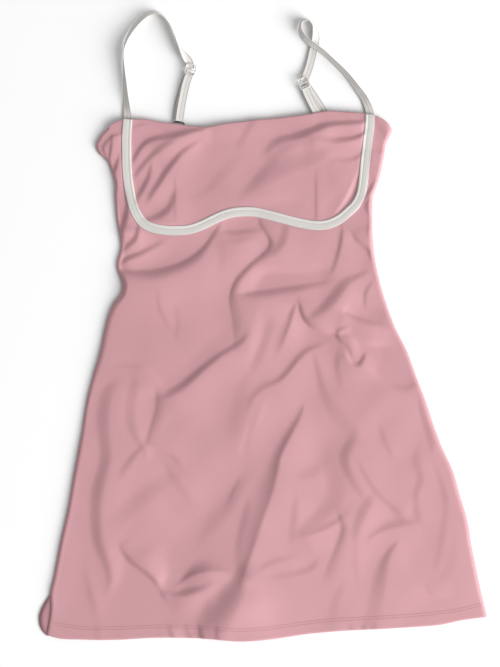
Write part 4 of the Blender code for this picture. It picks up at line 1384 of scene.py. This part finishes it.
@dataclass
class Studio:
    """Pale floor, soft light and a camera that looks straight down.

    Attributes:
        centre: the middle of the picture in plan, in millimetres.
        height: the picture's height in plan, at the cloth.
        cloth: height of the cloth that the picture's height holds for.
        distance: camera to cloth, in metres.
        sensor: height of the camera's sensor.
        half: half the floor's width, in metres.
        drop: how far the floor lies under the dress, in metres.
        sky: strength of the white world.
    """

    centre: tuple[float, float] = (-16.25, -10.25)
    height: float = 833.75
    cloth: float = 4.0
    distance: float = 2.4
    sensor: float = 24.0
    half: float = 3.0
    drop: float = 0.0004
    sky: float = 0.42

    def floor(self) -> None:
        """A wide pale floor just under the dress."""
        mesh = bpy.data.meshes.new("floor")
        corners = [(x * self.half, y * self.half, 0) for x, y in ((-1, -1), (1, -1), (1, 1), (-1, 1))]
        mesh.from_pydata(corners, [], [(0, 1, 2, 3)])
        floor = bpy.data.objects.new("floor", mesh)
        floor.location.z = -self.drop
        bpy.context.scene.collection.objects.link(floor)
        mesh.materials.append(Shader("floor_paint", (0.83, 0.83, 0.83), 0.9, Specular_IOR_Level=0.1).material)

    @staticmethod
    def light(name: str, lamp: Lamp) -> None:
        """Puts a light in the scene, facing the dress."""
        data = bpy.data.lights.new(name, "AREA")
        data.energy, data.size = lamp.power, lamp.size
        light = bpy.data.objects.new(name, data)
        a, e = math.radians(lamp.azimuth), math.radians(lamp.elevation)
        place = Vector((math.cos(a) * math.cos(e), math.sin(a) * math.cos(e), math.sin(e))) * lamp.away
        light.location = place
        light.rotation_euler = (-place).to_track_quat("-Z", "Y").to_euler()
        bpy.context.scene.collection.objects.link(light)

    def build(self) -> None:
        """Builds the floor, the world, the lights and the camera."""
        self.floor()
        scene = bpy.context.scene
        scene.view_settings.view_transform = "Standard"
        scene.world = bpy.data.worlds.new("studio")
        scene.world.use_nodes = True
        background = scene.world.node_tree.nodes["Background"]
        background.inputs["Color"].default_value = (1.0, 1.0, 1.0, 1.0)
        background.inputs["Strength"].default_value = self.sky
        for name, lamp in LAMPS.items():
            self.light(name, lamp)
        data = bpy.data.cameras.new("camera")
        data.sensor_fit = "VERTICAL"
        data.sensor_height = self.sensor
        data.lens = data.sensor_height * self.distance / (self.height * MM)
        camera = bpy.data.objects.new("camera", data)
        camera.location = (self.centre[0] * MM, self.centre[1] * MM, self.distance + self.cloth * MM)
        scene.collection.objects.link(camera)
        scene.camera = camera


# Gap between the hem's rows, places of the binding's rows left of its middle, and how far the inner is sunk.
ROW_GAP, INNER_ROW, OUTER_ROW, ROW_SUNK = 3.2, 2.2, -4.3, 0.25


def main() -> None:
    """Builds the dress and its studio, and reports each piece."""
    logging.basicConfig(level=logging.INFO, format="%(name)s: %(message)s")
    pink = Knit().material("pink_knit")
    # Painted shade: a darker copy of the knit for the back, where it shows past the front's edge.
    inside = Knit(colour=(0.42, 0.215, 0.24), roughness=0.7).material("pink_knit_inside")
    # Painted shade: the binding's darker lines in its groove and along its outer edge. Painted highlight:
    # paler over its rolled inner edge.
    ivory = Elastic(lines=((0.0021, 0.0006, 0.66), (-0.0050, 0.0005, 0.85)),
                    highlight_from=0.0027).material("ivory_elastic_painted_light")
    # Painted shade: the ribbon's darker lines along its edges and its middle dip.
    shaded_webbing = Elastic((0.66, 0.635, 0.612), lines=(
        (0.0046, 0.0010, 0.50), (0.0, 0.0008, 0.68), (-0.0046, 0.0010, 0.50))).material("ivory_ribbon")
    plastic, metal = PLASTIC.material("milky_plastic"), METAL.material("dark_plating")
    pink_thread = thread((0.33, 0.16, 0.18)).material("pink_thread")
    ivory_thread = thread((0.70, 0.685, 0.65)).material("ivory_thread")

    relief = Relief()
    body, bust = Front(relief, pink).build()
    back = Back(inside).build()
    binding = Binding(relief, ivory)
    strip = binding.build()
    ribbons = [ribbon for side in Side for ribbon in Strap(side, shaded_webbing, plastic, metal).build()]
    hem = Stitches(relief, pink_thread)
    rows = [hem.build("hem_stitches_upper", HEM_STITCH, Slot.KNIT),
            hem.build("hem_stitches_lower", beside(HEM_STITCH, -ROW_GAP), Slot.KNIT)]
    over = binding.thread_height()
    edge = Stitches(relief, ivory_thread, length=2.0, pitch=2.9, thick=0.42)
    trim_rows = [edge.build("binding_stitches_inner", beside(BUST_SEAM, INNER_ROW), Slot.IVORY,
                            over - ROW_SUNK),
                 edge.build("binding_stitches_outer", beside(BUST_SEAM, OUTER_ROW), Slot.IVORY, over)]

    Studio().build()


if __name__ == "__main__":
    main()
